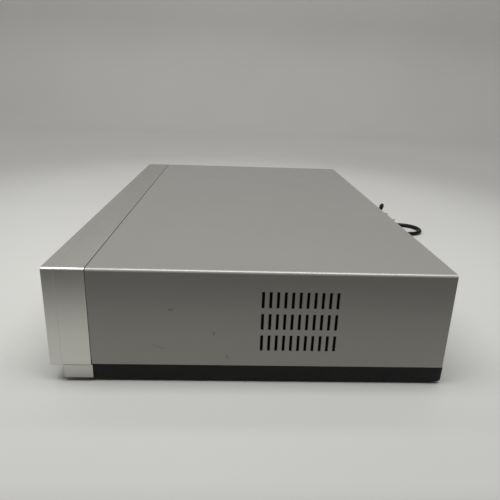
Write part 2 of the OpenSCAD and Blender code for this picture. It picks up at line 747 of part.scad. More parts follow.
// the moulded frame: side walls, a floor with a window, ledges that the tray runs on, and a gear pin
module loader_frame() {
    side = frame_side + frame_wall;
    color([0.14, 0.14, 0.15]) translate([disc_cx, 0, 0]) difference() {
        union() {
            block([-side, loader_front, loader_z], [side, loader_rear, frame_floor]);
            for (s = [-1, 1]) {
                block([s > 0 ? frame_side : -side, loader_front, loader_z],
                    [s > 0 ? side : -frame_side, loader_rear, frame_top]);
                // ledge under the tray's rail
                block([s > 0 ? frame_side - rail_w : -side, loader_front, tray_z - 2.3],
                    [s > 0 ? side : rail_w - frame_side, loader_rear, tray_z - fit]);
                // lips that hold the tray down
                for (i = [0 : 3]) translate([0, loader_front + 8 + i * 52, 0])
                    block([s > 0 ? frame_side - 1.8 : -side, 0, tray_top + fit],
                        [s > 0 ? side : 1.8 - frame_side, 12, frame_top]);
                // ribs under the ledge
                for (i = [0 : 6]) translate([0, loader_front + 12 + i * 26, 0])
                    block([s > 0 ? frame_side - rail_w : -side, 0, loader_z],
                        [s > 0 ? side : rail_w - frame_side, 2, tray_z - 1]);
                // ear and pin of the traverse's hinge
                block([s > 0 ? traverse_x + 2 : -traverse_x - 7, hinge_y - 4, loader_z],
                    [s > 0 ? traverse_x + 7 : -traverse_x - 2, hinge_y + 4, hinge_z + 4]);
                rod_x(s > 0 ? traverse_x - 5 : -traverse_x - 3,
                    s > 0 ? traverse_x + 3 : 5 - traverse_x, hinge_y, hinge_z, hinge_dia);
            }
            block([-side, loader_rear - 2.5, loader_z], [side, loader_rear, tray_top]);
            block([-side, loader_front, loader_z], [side, loader_front + 2.5, tray_z - 4]);
            // boss and pin of the tray gear
            rod_z(gear_cx - disc_cx, gear_cy, frame_floor - eps, pulley_z - fit, 7);
            rod_z(gear_cx - disc_cx, gear_cy, frame_floor, tray_under - 0.4, gear_pin);
        }
        difference() {
            block([-traverse_x - 1, traverse_front - 4, loader_z - 1],
                [traverse_x + 1, hinge_y + 8, frame_floor + 2]);
            for (s = [-1, 1]) rod_x(s * traverse_x - 5, s * traverse_x + 5, hinge_y, hinge_z, hinge_dia);
        }
        // holes for the loader motor's shaft and for the screws
        rod_z(motor_cx - disc_cx, gear_cy, loader_z - 1, frame_floor + 1, 7);
    }
}

// the bridge over the tray, which carries the clamp
module clamp_bridge() {
    side = frame_side + frame_wall;
    color([0.62, 0.63, 0.65]) translate([disc_cx, spindle_y, frame_top]) difference() {
        union() {
            block([-side, -bridge_y, 0], [side, bridge_y, bridge_t]);
            cylinder(h = bridge_t + 0.8, d = 38);
            for (s = [-1, 1]) block([-side + 8, s * (bridge_y - 1) - 1, 0],
                [side - 8, s * (bridge_y - 1) + 1, bridge_t + 2.5]);
        }
        translate([0, 0, -1]) cylinder(h = bridge_t + 3, d = 22);
        for (s = [-1, 1]) translate([s * (side - 16), 0, -1]) cylinder(h = bridge_t + 3, d = 9);
        for (s = [-1, 1]) translate([s * (side - 34), 0, -1]) cylinder(h = bridge_t + 3, d = 12);
    }
}

// the clamp: a puck that hangs in the bridge by its upper flange
module clamp_disc() {
    low = tray_top + clamp_gap;
    top = frame_top + bridge_t + 0.8 + fit;
    color([0.1, 0.1, 0.1]) translate([disc_cx, spindle_y, 0]) rotate_extrude() polygon([
        [0, low + 1.2], [8.4, low + 1.2], [9.2, low], [17, low], [17, low + 1.2], [15.5, low + 2],
            [10, low + 2],
        [10, top], [13.5, top], [13.5, top + 0.8], [12.5, top + 1.8], [5, top + 1.8], [5, top + 0.8],
            [0, top + 0.8]]);
}

// one rack tooth, which points along -X, with its middle on y = 0
module rack_tooth() {
    half = PI * gear_module / 4 - 0.05;
    slope = tan(20);
    tip = gear_module;
    root = -1.25 * gear_module;
    polygon([[-root + 0.1, half - root * slope], [-tip, half - tip * slope], [-tip, tip * slope - half],
        [-root + 0.1, root * slope - half]]);
}

// the tray: a well for the disc, a slot for the turntable that is open to the rear, rails and a rack
module disc_tray() {
    rack_pitch = PI * gear_module;
    rack_teeth = ceil((tray_travel + 14) / rack_pitch);
    color([0.09, 0.09, 0.1]) difference() {
        union() {
            difference() {
                translate([disc_cx, tray_y, 0]) {
                    block([-tray_w / 2, 0, tray_under], [tray_w / 2, tray_len, tray_top]);
                    for (s = [-1, 1]) block([s > 0 ? tray_w / 2 - rail_w : -tray_w / 2, 0, tray_z],
                        [s > 0 ? tray_w / 2 : rail_w - tray_w / 2, tray_len, tray_top]);
                    block([-tray_w / 2, 0, tray_z], [tray_w / 2, 2.5, tray_top]);
                }
                translate([disc_cx, spindle_y, tray_floor]) cylinder(h = tray_h, d = disc_dia + 1.5,
                    $fn = 96);
                translate([disc_cx, spindle_y, tray_floor - 0.6]) cylinder(h = tray_h, d = 82, $fn = 96);
                // finger scoops at the sides of the well
                for (s = [-1, 1]) translate([disc_cx + s * disc_dia / 2, spindle_y,
                    tray_floor]) cylinder(h = tray_h, r = 7);
                // the deck behind the well is lowered, to save weight
                block([disc_cx - tray_w / 2 + 6, spindle_y + disc_dia / 2 + 8, tray_floor],
                    [disc_cx + tray_w / 2 - 6, tray_end - 6, tray_top + 1]);
            }
            // the rack, on a rib under the tray
            translate([0, 0, tray_z]) linear_extrude(tray_under - tray_z + eps) {
                translate([rack_x + 1.25 * gear_module, gear_cy - 6]) square([2.5,
                    rack_teeth * rack_pitch]);
                for (i = [0 : rack_teeth - 1]) translate([rack_x,
                    gear_cy + (i - 1.5) * rack_pitch]) rack_tooth();
            }
        }
        translate([disc_cx, spindle_y, tray_z - 1]) cylinder(h = tray_h + 2, r = slot_r);
        block([disc_cx - slot_r, spindle_y, tray_z - 1], [disc_cx + slot_r, tray_end + 1, tray_top + 1]);
    }
}

// the tray's front, which fills the opening in the bezel
module tray_fascia() {
    color([0.68, 0.68, 0.66]) translate([disc_cx, 0, fascia_z + fascia_h / 2]) difference() {
        upright(front_y, tray_y) round_rect(fascia_w, fascia_h, 1.2);
        // groove over the lower edge
        block([4 - fascia_w / 2, front_y - 1, 3 - fascia_h / 2],
            [fascia_w / 2 - 4, front_y + relief, 3 - fascia_h / 2 + groove_w]);
    }
}

// half the angle that a gear's tooth takes up at radius r
function tooth_angle(r, teeth, base) = 90 / teeth - 0.25 + (tan(20) * 180 / PI - 20)
    - (tan(acos(min(1, base / r))) * 180 / PI - acos(min(1, base / r)));

// the outline of an involute spur gear, with a tooth along +X
module spur_outline(m, teeth) {
    pitch = m * teeth / 2;
    base = pitch * cos(20);
    tip = pitch + m;
    root = pitch - 1.25 * m;
    flank = [for (i = [0 : 4]) base + (tip - base) * i / 4];
    circle(root + 0.02);
    for (k = [0 : teeth - 1]) rotate(k * 360 / teeth) polygon(concat(
        [[root - 0.5, -(root - 0.5) * sin(tooth_angle(base, teeth, base))]],
        [for (r = flank) r * [cos(tooth_angle(r, teeth, base)), -sin(tooth_angle(r, teeth, base))]],
        [for (i = [4 : -1 : 0]) flank[i] * [cos(tooth_angle(flank[i], teeth, base)),
            sin(tooth_angle(flank[i], teeth, base))]],
        [[root - 0.5, (root - 0.5) * sin(tooth_angle(base, teeth, base))]]));
}

// the tray gear: a pinion above a belt pulley
module tray_gear() {
    color([0.85, 0.84, 0.78]) translate([gear_cx, gear_cy, 0]) difference() {
        union() {
            translate([0, 0, pulley_z]) rotate_extrude() polygon([[0, 0], [pulley_r, 0], [pulley_r, 0.6],
                [pulley_r - 1, 0.9], [pulley_r - 1, pulley_h - 0.9], [pulley_r, pulley_h - 0.6],
                    [pulley_r, pulley_h], [0, pulley_h]]);
            translate([0, 0, pulley_z + pulley_h - eps]) cylinder(h = tray_z - pulley_z - pulley_h + 1,
                r = 6);
            translate([0, 0, tray_z + 0.2]) linear_extrude(gear_h) spur_outline(gear_module, gear_teeth);
        }
        translate([0, 0, pulley_z - 1]) cylinder(h = 20, d = gear_pin + 2 * run);
        for (a = [0 : 60 : 300]) rotate(a) translate([9.2, 0, pulley_z - 1]) cylinder(h = pulley_h + 2,
            r = 1.8);
    }
}

// the loader's motor under the frame's floor, with its pulley above it
module loader_motor() {
    color([0.66, 0.67, 0.69]) translate([motor_cx, gear_cy, 0]) {
        translate([0, 0, loader_z - 19]) rotate_extrude()
            polygon([[0, 0], [11, 0], [12, 1], [12, 18], [11, 19], [3.4, 19], [3.4, 21], [0, 21]]);
        translate([0, 0, loader_z]) cylinder(h = pulley_z - loader_z + 1, d = 2);
        translate([0, 0, pulley_z]) rotate_extrude() polygon([[0, 0], [motor_pulley_r + 1, 0],
            [motor_pulley_r, 0.9],
            [motor_pulley_r, pulley_h - 0.9], [motor_pulley_r + 1, pulley_h], [0, pulley_h]]);
    }
}

// outline of the belt's inside, grown by g
module belt_outline(g) {
    hull() {
        translate([gear_cx, gear_cy]) circle(pulley_r - 1 + fit + g, $fn = 40);
        translate([motor_cx, gear_cy]) circle(motor_pulley_r + 0.1 + g, $fn = 24);
    }
}

module drive_belt() {
    color([0.05, 0.05, 0.05]) translate([0, 0, belt_z + 0.2]) linear_extrude(pulley_h - 2.4) difference() {
        belt_outline(belt_t - 0.5);
        belt_outline(0);
    }
}

// the traverse: a hinged plate that carries the spindle's motor and the pickup's rods
module traverse_frame() {
    color([0.3, 0.3, 0.32]) translate([disc_cx, 0, 0]) {
        difference() {
            union() {
                block([-traverse_x, traverse_front, traverse_z],
                    [traverse_x, hinge_y + 2, traverse_z + traverse_t]);
                for (s = [-1, 1]) rod_x(s > 0 ? traverse_x - 8 : -traverse_x,
                    s > 0 ? traverse_x : 8 - traverse_x, hinge_y, hinge_z, 9);
                // blocks that hold the rods' ends
                for (y = [rod_front, rod_rear]) for (x = [-rod_x0, rod_x0, screw_x0])
                    block([x - 3.5, y - 3, traverse_z], [x + 3.5, y + 3, rod_z0 + 3]);
                // rim around the plate
                for (s = [-1, 1]) block([s * (traverse_x - 1) - 1, traverse_front, traverse_z],
                    [s * (traverse_x - 1) + 1, hinge_y - 6, traverse_z + traverse_t + 3]);
                block([-traverse_x, traverse_front, traverse_z],
                    [traverse_x, traverse_front + 2, traverse_z + traverse_t + 3]);
            }
            // window for the pickup
            block([-rod_x0 - 1, rod_front + 3.5, traverse_z - 1],
                [rod_x0 + 1, rod_rear - 3.5, traverse_z + traverse_t + 1]);
            for (s = [-1, 1]) rod_x(s * traverse_x - 10, s * traverse_x + 10, hinge_y, hinge_z,
                hinge_dia + 2 * run);
            rod_y(screw_x0, rod_front - 4, rod_rear + 4, rod_z0, rod_dia + 2 * run);
            translate([0, spindle_y, traverse_z - 1]) cylinder(h = 10, d = 7);
        }
        for (x = [-rod_x0, rod_x0]) rod_y(x, rod_front, rod_rear, rod_z0, rod_dia);
    }
}

// the spindle's motor, with its shaft
module spindle_motor() {
    base = traverse_z + traverse_t;
    color([0.6, 0.61, 0.62]) translate([disc_cx, spindle_y, 0]) {
        translate([0, 0, base]) rotate_extrude() polygon([[0, -2], [3.4, -2], [3.4, 0], [12, 0],
            [12, 1.2], [11, 1.2],
            [11, motor_top - base - 1], [10, motor_top - base], [0, motor_top - base]]);
        rod_z(0, 0, base, disc_z, spindle_dia);
    }
}

// the turntable: a rimmed platter with a centring cone, on the spindle
module turntable() {
    low = motor_top + fit;
    color([0.2, 0.2, 0.21]) translate([disc_cx, spindle_y, 0]) difference() {
        rotate_extrude() polygon([[0, low], [8, low], [8, disc_z - 1.6], [turntable_dia / 2, disc_z - 1.6],
            [turntable_dia / 2, disc_z], [turntable_dia / 2 - 3, disc_z],
                [turntable_dia / 2 - 3, disc_z - 0.4],
            [7.6, disc_z - 0.4], [7.4, disc_z + 1.2], [6, disc_z + 2.2], [0, disc_z + 2.2]]);
        translate([0, 0, low - 1]) cylinder(h = disc_z - low + 1.5, d = spindle_dia + 2 * run);
    }
}

// the pickup: a sled with bushes on the two rods, a lens, and an arm to the lead screw
module pickup() {
    high = tray_z - 0.6;
    color([0.24, 0.24, 0.26]) translate([disc_cx, pickup_y, 0]) difference() {
        union() {
            block([-rod_x0 + 4, -pickup_len / 2, traverse_z + 0.5],
                [rod_x0 - 4, pickup_len / 2, high - 1.5]);
            block([-rod_x0 - 3, -pickup_len / 2, rod_z0 - 3], [5 - rod_x0, pickup_len / 2, rod_z0 + 3]);
            block([rod_x0 - 5, -5, rod_z0 - 3], [rod_x0 + 3, 5, rod_z0 + 3]);
            block([screw_x0 - 3, -4, rod_z0 - 2.6], [-rod_x0, 4, rod_z0 + 2.6]);
            block([-10, -8, high - 1.6], [10, 8, high]);
            rod_z(0, 0, high - eps, tray_floor - 0.6, 8);
        }
        for (s = [-1, 1]) rod_y(s * rod_x0, -pickup_len, pickup_len, rod_z0, rod_dia + 2 * run);
        rod_y(screw_x0, -5, 5, rod_z0, rod_dia + 4 * run);
        rod_z(0, 0, tray_floor - 1.4, tray_floor, 6);
    }
}

// the lead screw, with a collar at its rear end
module lead_screw() {
    color([0.78, 0.78, 0.8]) translate([disc_cx, 0, 0]) {
        rod_y(screw_x0, rod_front - 4, rod_rear + 6, rod_z0, rod_dia);
        rod_y(screw_x0, rod_rear + 3 + fit, rod_rear + 5.5, rod_z0, 5.4);
    }
}

// ---- tape deck ----
reel_y = deck_front + 68;
reel_x = [tape_x - reel_pitch / 2, tape_x + reel_pitch / 2];
reel_pin = 4;
reel_dia = 36;
drum_y = deck_front + 160;
drum_r = drum_dia / 2;
drum_low = 5; // height of the lower drum's foot above the deck
drum_split = 15.3;
drum_h = 30;
post_r = drum_r + 13; // distance of the threading posts from the drum's middle
post_start = 50; // angle of a post from straight to the side, at rest
post_swing = 65;
slot_half = 2.6;
capstan_at = [tape_x + 56, drum_y - 26];
capstan_boss = 10;
capstan_boss_h = 5;
flywheel_r = 25;
flywheel_z = deck_z - 11;
pinch_pivot = [capstan_at[0] + 24, capstan_at[1] + 24];
pinch_pin = 5;
pinch_arm = 28.2;
pinch_angle = -97; // direction of the arm at rest
pinch_at = pinch_pivot + pinch_arm * [cos(pinch_angle), sin(pinch_angle)];
carrier_t = 0.8;
carrier_y = front_y + 49;
carrier_z = door_z + 0.5;
carrier_in_w = cassette_w + 2 * cassette_gap;
carrier_in_h = cassette_h + 2 * cassette_gap;
carrier_x = carrier_in_w / 2 + carrier_t;
carrier_top = carrier_z + 2 * carrier_t + carrier_in_h;
carrier_pin = 4;
carrier_pin_z = carrier_z + 13;
carrier_pins = [carrier_y + 14, carrier_y + carrier_len - 14];
rail_x = carrier_x + 0.5;
side_t = 1.5;
side_top = carrier_top + 2.8;
side_front = carrier_y - 2;
side_rear = carrier_pins[1] + carrier_travel + 8;
heads_z = deck_z + 24;

// an arc-shaped slot around the drum, long enough for a post to swing from one angle to the other
module arc_slot(from, to) {
    spare = asin(slot_half / post_r);
    steps = 16;
    turn = [for (i = [0 : steps]) from - spare + i * (to - from + 2 * spare) / steps];
    translate([tape_x, drum_y, deck_z - deck_t - 1]) linear_extrude(deck_t + 2) polygon(concat(
        [for (a = turn) (post_r + slot_half) * [cos(a), sin(a)]],
        [for (i = [steps : -1 : 0]) (post_r - slot_half) * [cos(turn[i]), sin(turn[i])]]));
}

// the pressed deck plate, with the pins and bosses that the moving pieces turn on
module deck_plate() {
    low = deck_z - deck_t;
    left = tape_x - deck_w / 2;
    right = tape_x + deck_w / 2;
    color([0.7, 0.71, 0.72]) {
        difference() {
            union() {
                block([left, deck_front, low], [right, deck_rear, deck_z]);
                for (x = [left, right - deck_t]) block([x, deck_front + 12, low - 5],
                    [x + deck_t, deck_rear - 12, low]);
                rod_z(capstan_at[0], capstan_at[1], low, deck_z + capstan_boss_h, capstan_boss);
            }
            arc_slot(180 + post_start - post_swing, 180 + post_start);
            arc_slot(-post_start, post_swing - post_start);
            rod_z(capstan_at[0], capstan_at[1], low - 1, deck_z + 7, capstan_dia + 2 * run);
            // openings pressed out of the plate
            for (s = [-1, 1]) block([tape_x + s * 60 - 14, deck_front + 12, low - 1],
                [tape_x + s * 60 + 14, deck_front + 34, deck_z + 1]);
            block([tape_x - 22, deck_front + 20, low - 1], [tape_x + 22, deck_front + 52, deck_z + 1]);
            rod_z(tape_x - 74, drum_y + 18, low - 1, deck_z + 1, 22);
            for (p = deck_posts) rod_z(p[0], p[1], low - 1, deck_z + 1, screw_dia + 0.4);
        }
        for (x = reel_x) rod_z(x, reel_y, deck_z - eps, deck_z + 8, reel_pin);
        rod_z(pinch_pivot[0], pinch_pivot[1], deck_z - eps, deck_z + 8, pinch_pin);
    }
}

// the fixed lower drum on its base, tilted as the tape's path needs
module drum_base() {
    color([0.72, 0.73, 0.74]) {
        translate([tape_x, drum_y, deck_z]) {
            difference() {
                cylinder(h = 7, r = drum_r - 3);
                for (s = [-1, 1]) translate([s * 20, 0, 3]) cylinder(h = 10, d = 5);
            }
            for (a = [30, 150, 270]) rotate(a) translate([-5, 0, 0]) cube([10, drum_r + 2, 3]);
        }
        translate([tape_x, drum_y, deck_z + drum_low]) rotate([drum_tilt, 0, 0]) {
            rotate_extrude() polygon([[0, 0], [drum_r, 0], [drum_r, 10], [drum_r - 0.4, 10.4],
                [drum_r - 0.4, 15], [0, 15]]);
            cylinder(h = drum_h - 3, d = 5);
        }
    }
}

// the spinning upper drum, on the lower drum's shaft
module drum_head() {
    color([0.82, 0.83, 0.84]) translate([tape_x, drum_y, deck_z + drum_low]) rotate([drum_tilt, 0, 0])
        difference() {
            rotate_extrude() polygon([[0, drum_split], [drum_r, drum_split], [drum_r, drum_h - 0.8],
                [drum_r - 0.8, drum_h],
                [drum_r - 8, drum_h], [drum_r - 9, drum_h - 2], [12, drum_h - 2], [11, drum_h + 2],
                    [0, drum_h + 2]]);
            translate([0, 0, drum_split - 1]) cylinder(h = drum_h - drum_split - 1.5, d = 5 + 2 * run);
            for (a = [0 : 60 : 300]) rotate(a) translate([17, 0, drum_h - 4]) cylinder(h = 4, d = 4);
        }
}

// the capstan motor's stator, hung from the deck by three legs
module capstan_motor() {
    low = flywheel_z - 4;
    color([0.3, 0.32, 0.3]) translate([capstan_at[0], capstan_at[1], 0]) difference() {
        union() {
            translate([0, 0, low]) cylinder(h = 1.6, r = flywheel_r + 7);
            translate([0, 0, low]) cylinder(h = 3.4, r = 6);
            for (a = [30, 150, 270]) rotate(a) translate([flywheel_r + 4, 0,
                low]) cylinder(h = deck_z - deck_t - low, d = 5);
            for (i = [0 : 5]) rotate(i * 60) translate([16, 0, low]) cylinder(h = 3.2, r = 5);
        }
        translate([0, 0, low + 1]) cylinder(h = 5, d = capstan_dia + 2 * run);
    }
}

// the flywheel and the capstan, which turn in the deck's boss
module capstan_flywheel() {
    color([0.74, 0.74, 0.75]) translate([capstan_at[0], capstan_at[1], 0]) {
        translate([0, 0, flywheel_z - 2.6]) cylinder(h = deck_z + 24 - flywheel_z, d = capstan_dia);
        rotate_extrude() polygon([[0, flywheel_z], [flywheel_r, flywheel_z],
            [flywheel_r, flywheel_z + 6], [flywheel_r - 3, flywheel_z + 6],
            [flywheel_r - 4, flywheel_z + 3], [8, flywheel_z + 3], [7, flywheel_z + 7],
                [0, flywheel_z + 7]]);
    }
}

// the lever that swings the pinch roller to the capstan
module pinch_lever() {
    color([0.68, 0.66, 0.6]) translate([pinch_pivot[0], pinch_pivot[1], deck_z + fit]) difference() {
        union() {
            cylinder(h = 6, d = pinch_pin + 5);
            rotate(pinch_angle) translate([0, -4, 0]) cube([pinch_arm, 8, 2]);
            rotate(pinch_angle) translate([pinch_arm, 0, 0]) {
                cylinder(h = 2, d = 8);
                cylinder(h = capstan_boss_h + 0.5, d = 6);
                cylinder(h = 24, d = 3);
            }
        }
        translate([0, 0, -1]) cylinder(h = 8, d = pinch_pin + 2 * run);
    }
}

// the rubber pinch roller, on the lever's axle
module pinch_roller() {
    low = deck_z + capstan_boss_h + 0.5 + 2 * fit;
    color([0.12, 0.12, 0.12]) translate([pinch_at[0], pinch_at[1], low]) difference() {
        rotate_extrude() polygon([[0, 0], [3, 0], [3, 1.5], [pinch_dia / 2 - 0.6, 1.5],
            [pinch_dia / 2, 2.1], [pinch_dia / 2, 14.4],
            [pinch_dia / 2 - 0.6, 15], [3, 15], [3, 16.5], [0, 16.5]]);
        translate([0, 0, -1]) cylinder(h = 20, d = 3 + 2 * run);
    }
}

// a reel: a disc with a splined spindle that turns on the deck's pin
module reel(x) {
    color([0.86, 0.85, 0.82]) translate([x, reel_y, deck_z]) difference() {
        union() {
            rotate_extrude() polygon([[0, fit], [reel_dia / 2, fit], [reel_dia / 2, 3],
                [reel_dia / 2 - 1, 3.6], [8, 3.6],
                [7, 6], [4.2, 6], [3.6, 11.5], [2, 13], [0, 13]]);
            for (a = [0 : 60 : 300]) rotate(a) translate([3, -0.6, 5]) cube([1.8, 1.2, 6]);
        }
        translate([0, 0, -1]) cylinder(h = 10, d = reel_pin + 2 * run);
        for (a = [0 : 45 : 315]) rotate(a) translate([13, 0, -1]) cylinder(h = 6, d = 4);
    }
}

module supply_reel() {
    reel(reel_x[0]);
}

module takeup_reel() {
    reel(reel_x[1]);
}

// a threading post: a slider in the deck's slot with a roller post; a is its angle around the drum
module threading_post(a) {
    color([0.6, 0.6, 0.62]) translate([tape_x, drum_y, 0]) rotate(a) translate([post_r, 0, 0]) {
        translate([-5, -6, deck_z + fit]) cube([10, 12, 4]);
        rod_z(0, 0, deck_z - deck_t - 2, deck_z + 2, 2 * slot_half - 0.8);
        rod_z(0, 0, deck_z - deck_t - 3.2, deck_z - deck_t - fit, 2 * slot_half + 3);
        rod_z(0, 2, deck_z + 4, deck_z + 8, 7);
        rod_z(0, 2, deck_z + 7, deck_z + 24, 5);
        rod_z(0, 2, deck_z + 24 - eps, deck_z + 26, 7);
    }
}

module supply_post() {
    threading_post(180 + post_start);
}

module takeup_post() {
    threading_post(-post_start);
}

// a fixed head on its bracket, facing the tape
module tape_head(x, y, w) {
    difference() {
        block([x - 6, y - w / 2, deck_z], [x + 6, y + w / 2, deck_z + 3]);
        rod_z(x + 3, y, deck_z - 1, deck_z + 4, 2.6);
    }
    block([x - 3, y - w / 2 + 1, deck_z], [x + 3, y + w / 2 - 1, heads_z]);
    rod_z(x, y - w / 2 + 1, deck_z + 6, heads_z - 2, 4);
}

// the erase head and the sound head
module tape_heads() {
    color([0.5, 0.5, 0.52]) {
        tape_head(tape_x - 62, drum_y + 2, 14);
        tape_head(tape_x + 60, drum_y + 6, 16);
    }
}

// the two side plates that guide the carrier, joined by a bar over it
module carrier_rails() {
    color([0.66, 0.67, 0.69]) translate([tape_x, 0, 0]) {
        difference() {
            union() for (s = [-1, 1]) {
                block([s > 0 ? rail_x : -rail_x - side_t, side_front, deck_z],
                    [s > 0 ? rail_x + side_t : -rail_x, side_rear, side_top]);
                block([s > 0 ? rail_x - 7 : -rail_x, side_front + 4, deck_z],
                    [s > 0 ? rail_x : 7 - rail_x, side_rear, deck_z + 1.2]);
            }
            for (y = carrier_pins) {
                block([-rail_x - 5, y, carrier_pin_z - carrier_pin / 2 - 0.15],
                    [rail_x + 5, y + carrier_travel, carrier_pin_z + carrier_pin / 2 + 0.15]);
                for (d = [0, carrier_travel]) rod_x(-rail_x - 5, rail_x + 5, y + d, carrier_pin_z,
                    carrier_pin + 0.3);
            }
            // lightening holes
            for (i = [0 : 2]) rod_x(-rail_x - 5, rail_x + 5, side_front + 18 + i * 26, deck_z + 12, 12);
        }
        block([-rail_x - side_t, carrier_y + 20, side_top - 1.2],
            [rail_x + side_t, carrier_y + 38, side_top]);
    }
}

// the carrier: it holds a cassette by its edges and rides on four pins
module cassette_carrier() {
    color([0.74, 0.75, 0.76]) translate([tape_x, carrier_y, carrier_z]) {
        difference() {
            block([-carrier_x, 0, 0], [carrier_x, carrier_len, carrier_top - carrier_z]);
            block([-carrier_in_w / 2, -1, carrier_t],
                [carrier_in_w / 2, carrier_len + 1, carrier_t + carrier_in_h]);
            // the floor is only a lip along each side, because the reels come up between them
            block([14 - carrier_in_w / 2, -1, -1], [carrier_in_w / 2 - 14, carrier_len + 1, carrier_t + 1]);
            // windows in the roof
            for (s = [-1, 0, 1]) block([s * 58 - 20, 14, carrier_in_h],
                [s * 58 + 20, carrier_len - 20, carrier_in_h + 5]);
        }
        for (s = [-1, 1]) for (y = carrier_pins)
            rod_x(s > 0 ? carrier_x - eps : -carrier_x - 3, s > 0 ? carrier_x + 3 : eps - carrier_x,
                y - carrier_y, carrier_pin_z - carrier_z, carrier_pin);
    }
}

door_t = 2.2;
scoop_w = 60;
scoop_r = 4.4;

// the cassette door: it is hinged along its top edge and swings inwards
module cassette_door() {
    half = door_w / 2;
    color([0.66, 0.66, 0.64]) translate([tape_x, 0, 0]) {
        difference() {
            block([-half, front_y, door_z], [half, front_y + door_t, door_z + door_h]);
            // shallow field, and the scoop where a cassette's edge is pushed
            block([6 - half, front_y - 1, door_z + 8], [half - 6, front_y + relief, door_z + door_h - 5]);
            rod_x(-scoop_w / 2, scoop_w / 2, front_y - scoop_r + 1.4, door_z + 4, 2 * scoop_r);
        }
        // stiffening rib along the lower edge
        block([3 - half, front_y + door_t - eps, door_z + 1], [half - 3, front_y + 4, door_z + 2.5]);
        for (s = [-1, 1]) {
            block([s > 0 ? half - 3 : -half, front_y + 2, door_pin_z - 3],
                [s > 0 ? half : 3 - half, door_pin_y + 2.5, door_pin_z + 2]);
            rod_x(s > 0 ? half - eps : -half - ear_t, s > 0 ? half + ear_t : eps - half, door_pin_y,
                door_pin_z, door_pin_dia);
        }
    }
}

// ---- keys ----
// one key: a cap through the bezel, a flange that stops it from falling out, and a stem to its switch
module key(k) {
    seat = front_y + panel_t + fit;
    color([0.7, 0.7, 0.68]) translate([k[0], 0, k[1]]) {
        upright(front_y - key_proud, seat + 1) round_rect(k[2], k[3], 0.8);
        block([-k[2] / 2 - 1, seat, -k[3] / 2 - 1], [k[2] / 2 + 1, seat + 1, k[3] / 2 + 1]);
        rod_y(0, seat, switch_y - key_travel - 0.2, 0, 4);
    }
}

module power_key() { key(power_at); }
module open_key() { key(open_at); }
module channel_up_key() { key(channel_up_at); }
module channel_down_key() { key(channel_down_at); }
module source_key() { key(source_at); }
module eject_key() { key(tape_key_at(0)); }
module rewind_key() { key(tape_key_at(1)); }
module stop_key() { key(tape_key_at(2)); }
module play_key() { key(tape_key_at(3)); }
module forward_key() { key(tape_key_at(4)); }
module record_key() { key(tape_key_at(5)); }

top_cover();
front_panel();
front_bezel();
bottom_chassis();
rear_panel();
feet();
screws();
display_window();
display_module();
key_board();
front_jacks();
main_board();
power_board();
transformer();
heat_sink();
tuner();
rear_jacks();
strain_relief();
power_cord();
cord_coil();
mains_plug();
loader_frame();
clamp_bridge();
clamp_disc();
disc_tray();
tray_fascia();
tray_gear();
loader_motor();
drive_belt();
traverse_frame();
spindle_motor();
turntable();
pickup();
lead_screw();
deck_plate();
drum_base();
drum_head();
capstan_motor();
capstan_flywheel();
pinch_lever();
pinch_roller();
supply_reel();
takeup_reel();
supply_post();
takeup_post();
tape_heads();
carrier_rails();
cassette_carrier();
cassette_door();
power_key();
open_key();
channel_up_key();
channel_down_key();
source_key();
eject_key();
rewind_key();
stop_key();
play_key();
forward_key();
record_key();
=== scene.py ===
"""DVD and video cassette player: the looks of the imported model, in metres."""
import json
import math

import bmesh
import bpy
from mathutils import Matrix, Vector


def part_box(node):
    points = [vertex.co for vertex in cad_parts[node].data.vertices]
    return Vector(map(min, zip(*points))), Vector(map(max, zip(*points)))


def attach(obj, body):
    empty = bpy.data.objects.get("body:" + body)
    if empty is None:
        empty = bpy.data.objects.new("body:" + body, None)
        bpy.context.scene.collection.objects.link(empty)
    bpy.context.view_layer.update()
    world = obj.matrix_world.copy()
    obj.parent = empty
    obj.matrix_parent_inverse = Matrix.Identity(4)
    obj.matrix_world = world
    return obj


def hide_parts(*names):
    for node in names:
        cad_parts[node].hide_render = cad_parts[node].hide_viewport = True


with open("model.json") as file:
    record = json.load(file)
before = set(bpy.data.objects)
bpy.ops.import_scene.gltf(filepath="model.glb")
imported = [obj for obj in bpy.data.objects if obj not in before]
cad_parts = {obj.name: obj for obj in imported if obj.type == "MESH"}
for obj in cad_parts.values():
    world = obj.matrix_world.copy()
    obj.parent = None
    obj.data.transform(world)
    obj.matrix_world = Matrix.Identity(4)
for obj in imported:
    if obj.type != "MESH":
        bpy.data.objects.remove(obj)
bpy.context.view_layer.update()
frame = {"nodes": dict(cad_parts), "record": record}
NODES = frame["nodes"]
scene = bpy.context.scene
scene.view_settings.view_transform = "Standard"
MM = 0.001


def box(node_name):
    """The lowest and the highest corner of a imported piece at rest, in millimetres."""
    return [tuple(round(value / MM, 2) for value in corner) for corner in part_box(node_name)]


def middle(node_name):
    """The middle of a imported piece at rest, in millimetres."""
    return [(low + high) / 2 for low, high in zip(*box(node_name))]


# ---- camera, solved from the edges of the case ----
SENSOR_W, LENS = 36.0, 34.79
CAMERA_AT = (0.50624, -0.02056, 0.19769)
CAMERA_RIGHT = (0.0321, 0.9989, 0.0330)
CAMERA_AHEAD = (-0.9461, 0.0410, -0.3213)


def make_camera():
    data = bpy.data.cameras.new("camera")
    data.sensor_fit = "HORIZONTAL"
    data.sensor_width = SENSOR_W
    data.lens = LENS
    data.clip_start = 0.01
    data.clip_end = 50.0
    cam = bpy.data.objects.new("camera", data)
    scene.collection.objects.link(cam)
    ahead = Vector(CAMERA_AHEAD).normalized()
    up = Vector(CAMERA_RIGHT).normalized().cross(ahead).normalized()
    right = ahead.cross(up).normalized()
    turn = Matrix((right, up, -ahead)).transposed().to_4x4()
    cam.matrix_world = Matrix.Translation(CAMERA_AT) @ turn
    scene.camera = cam


make_camera()


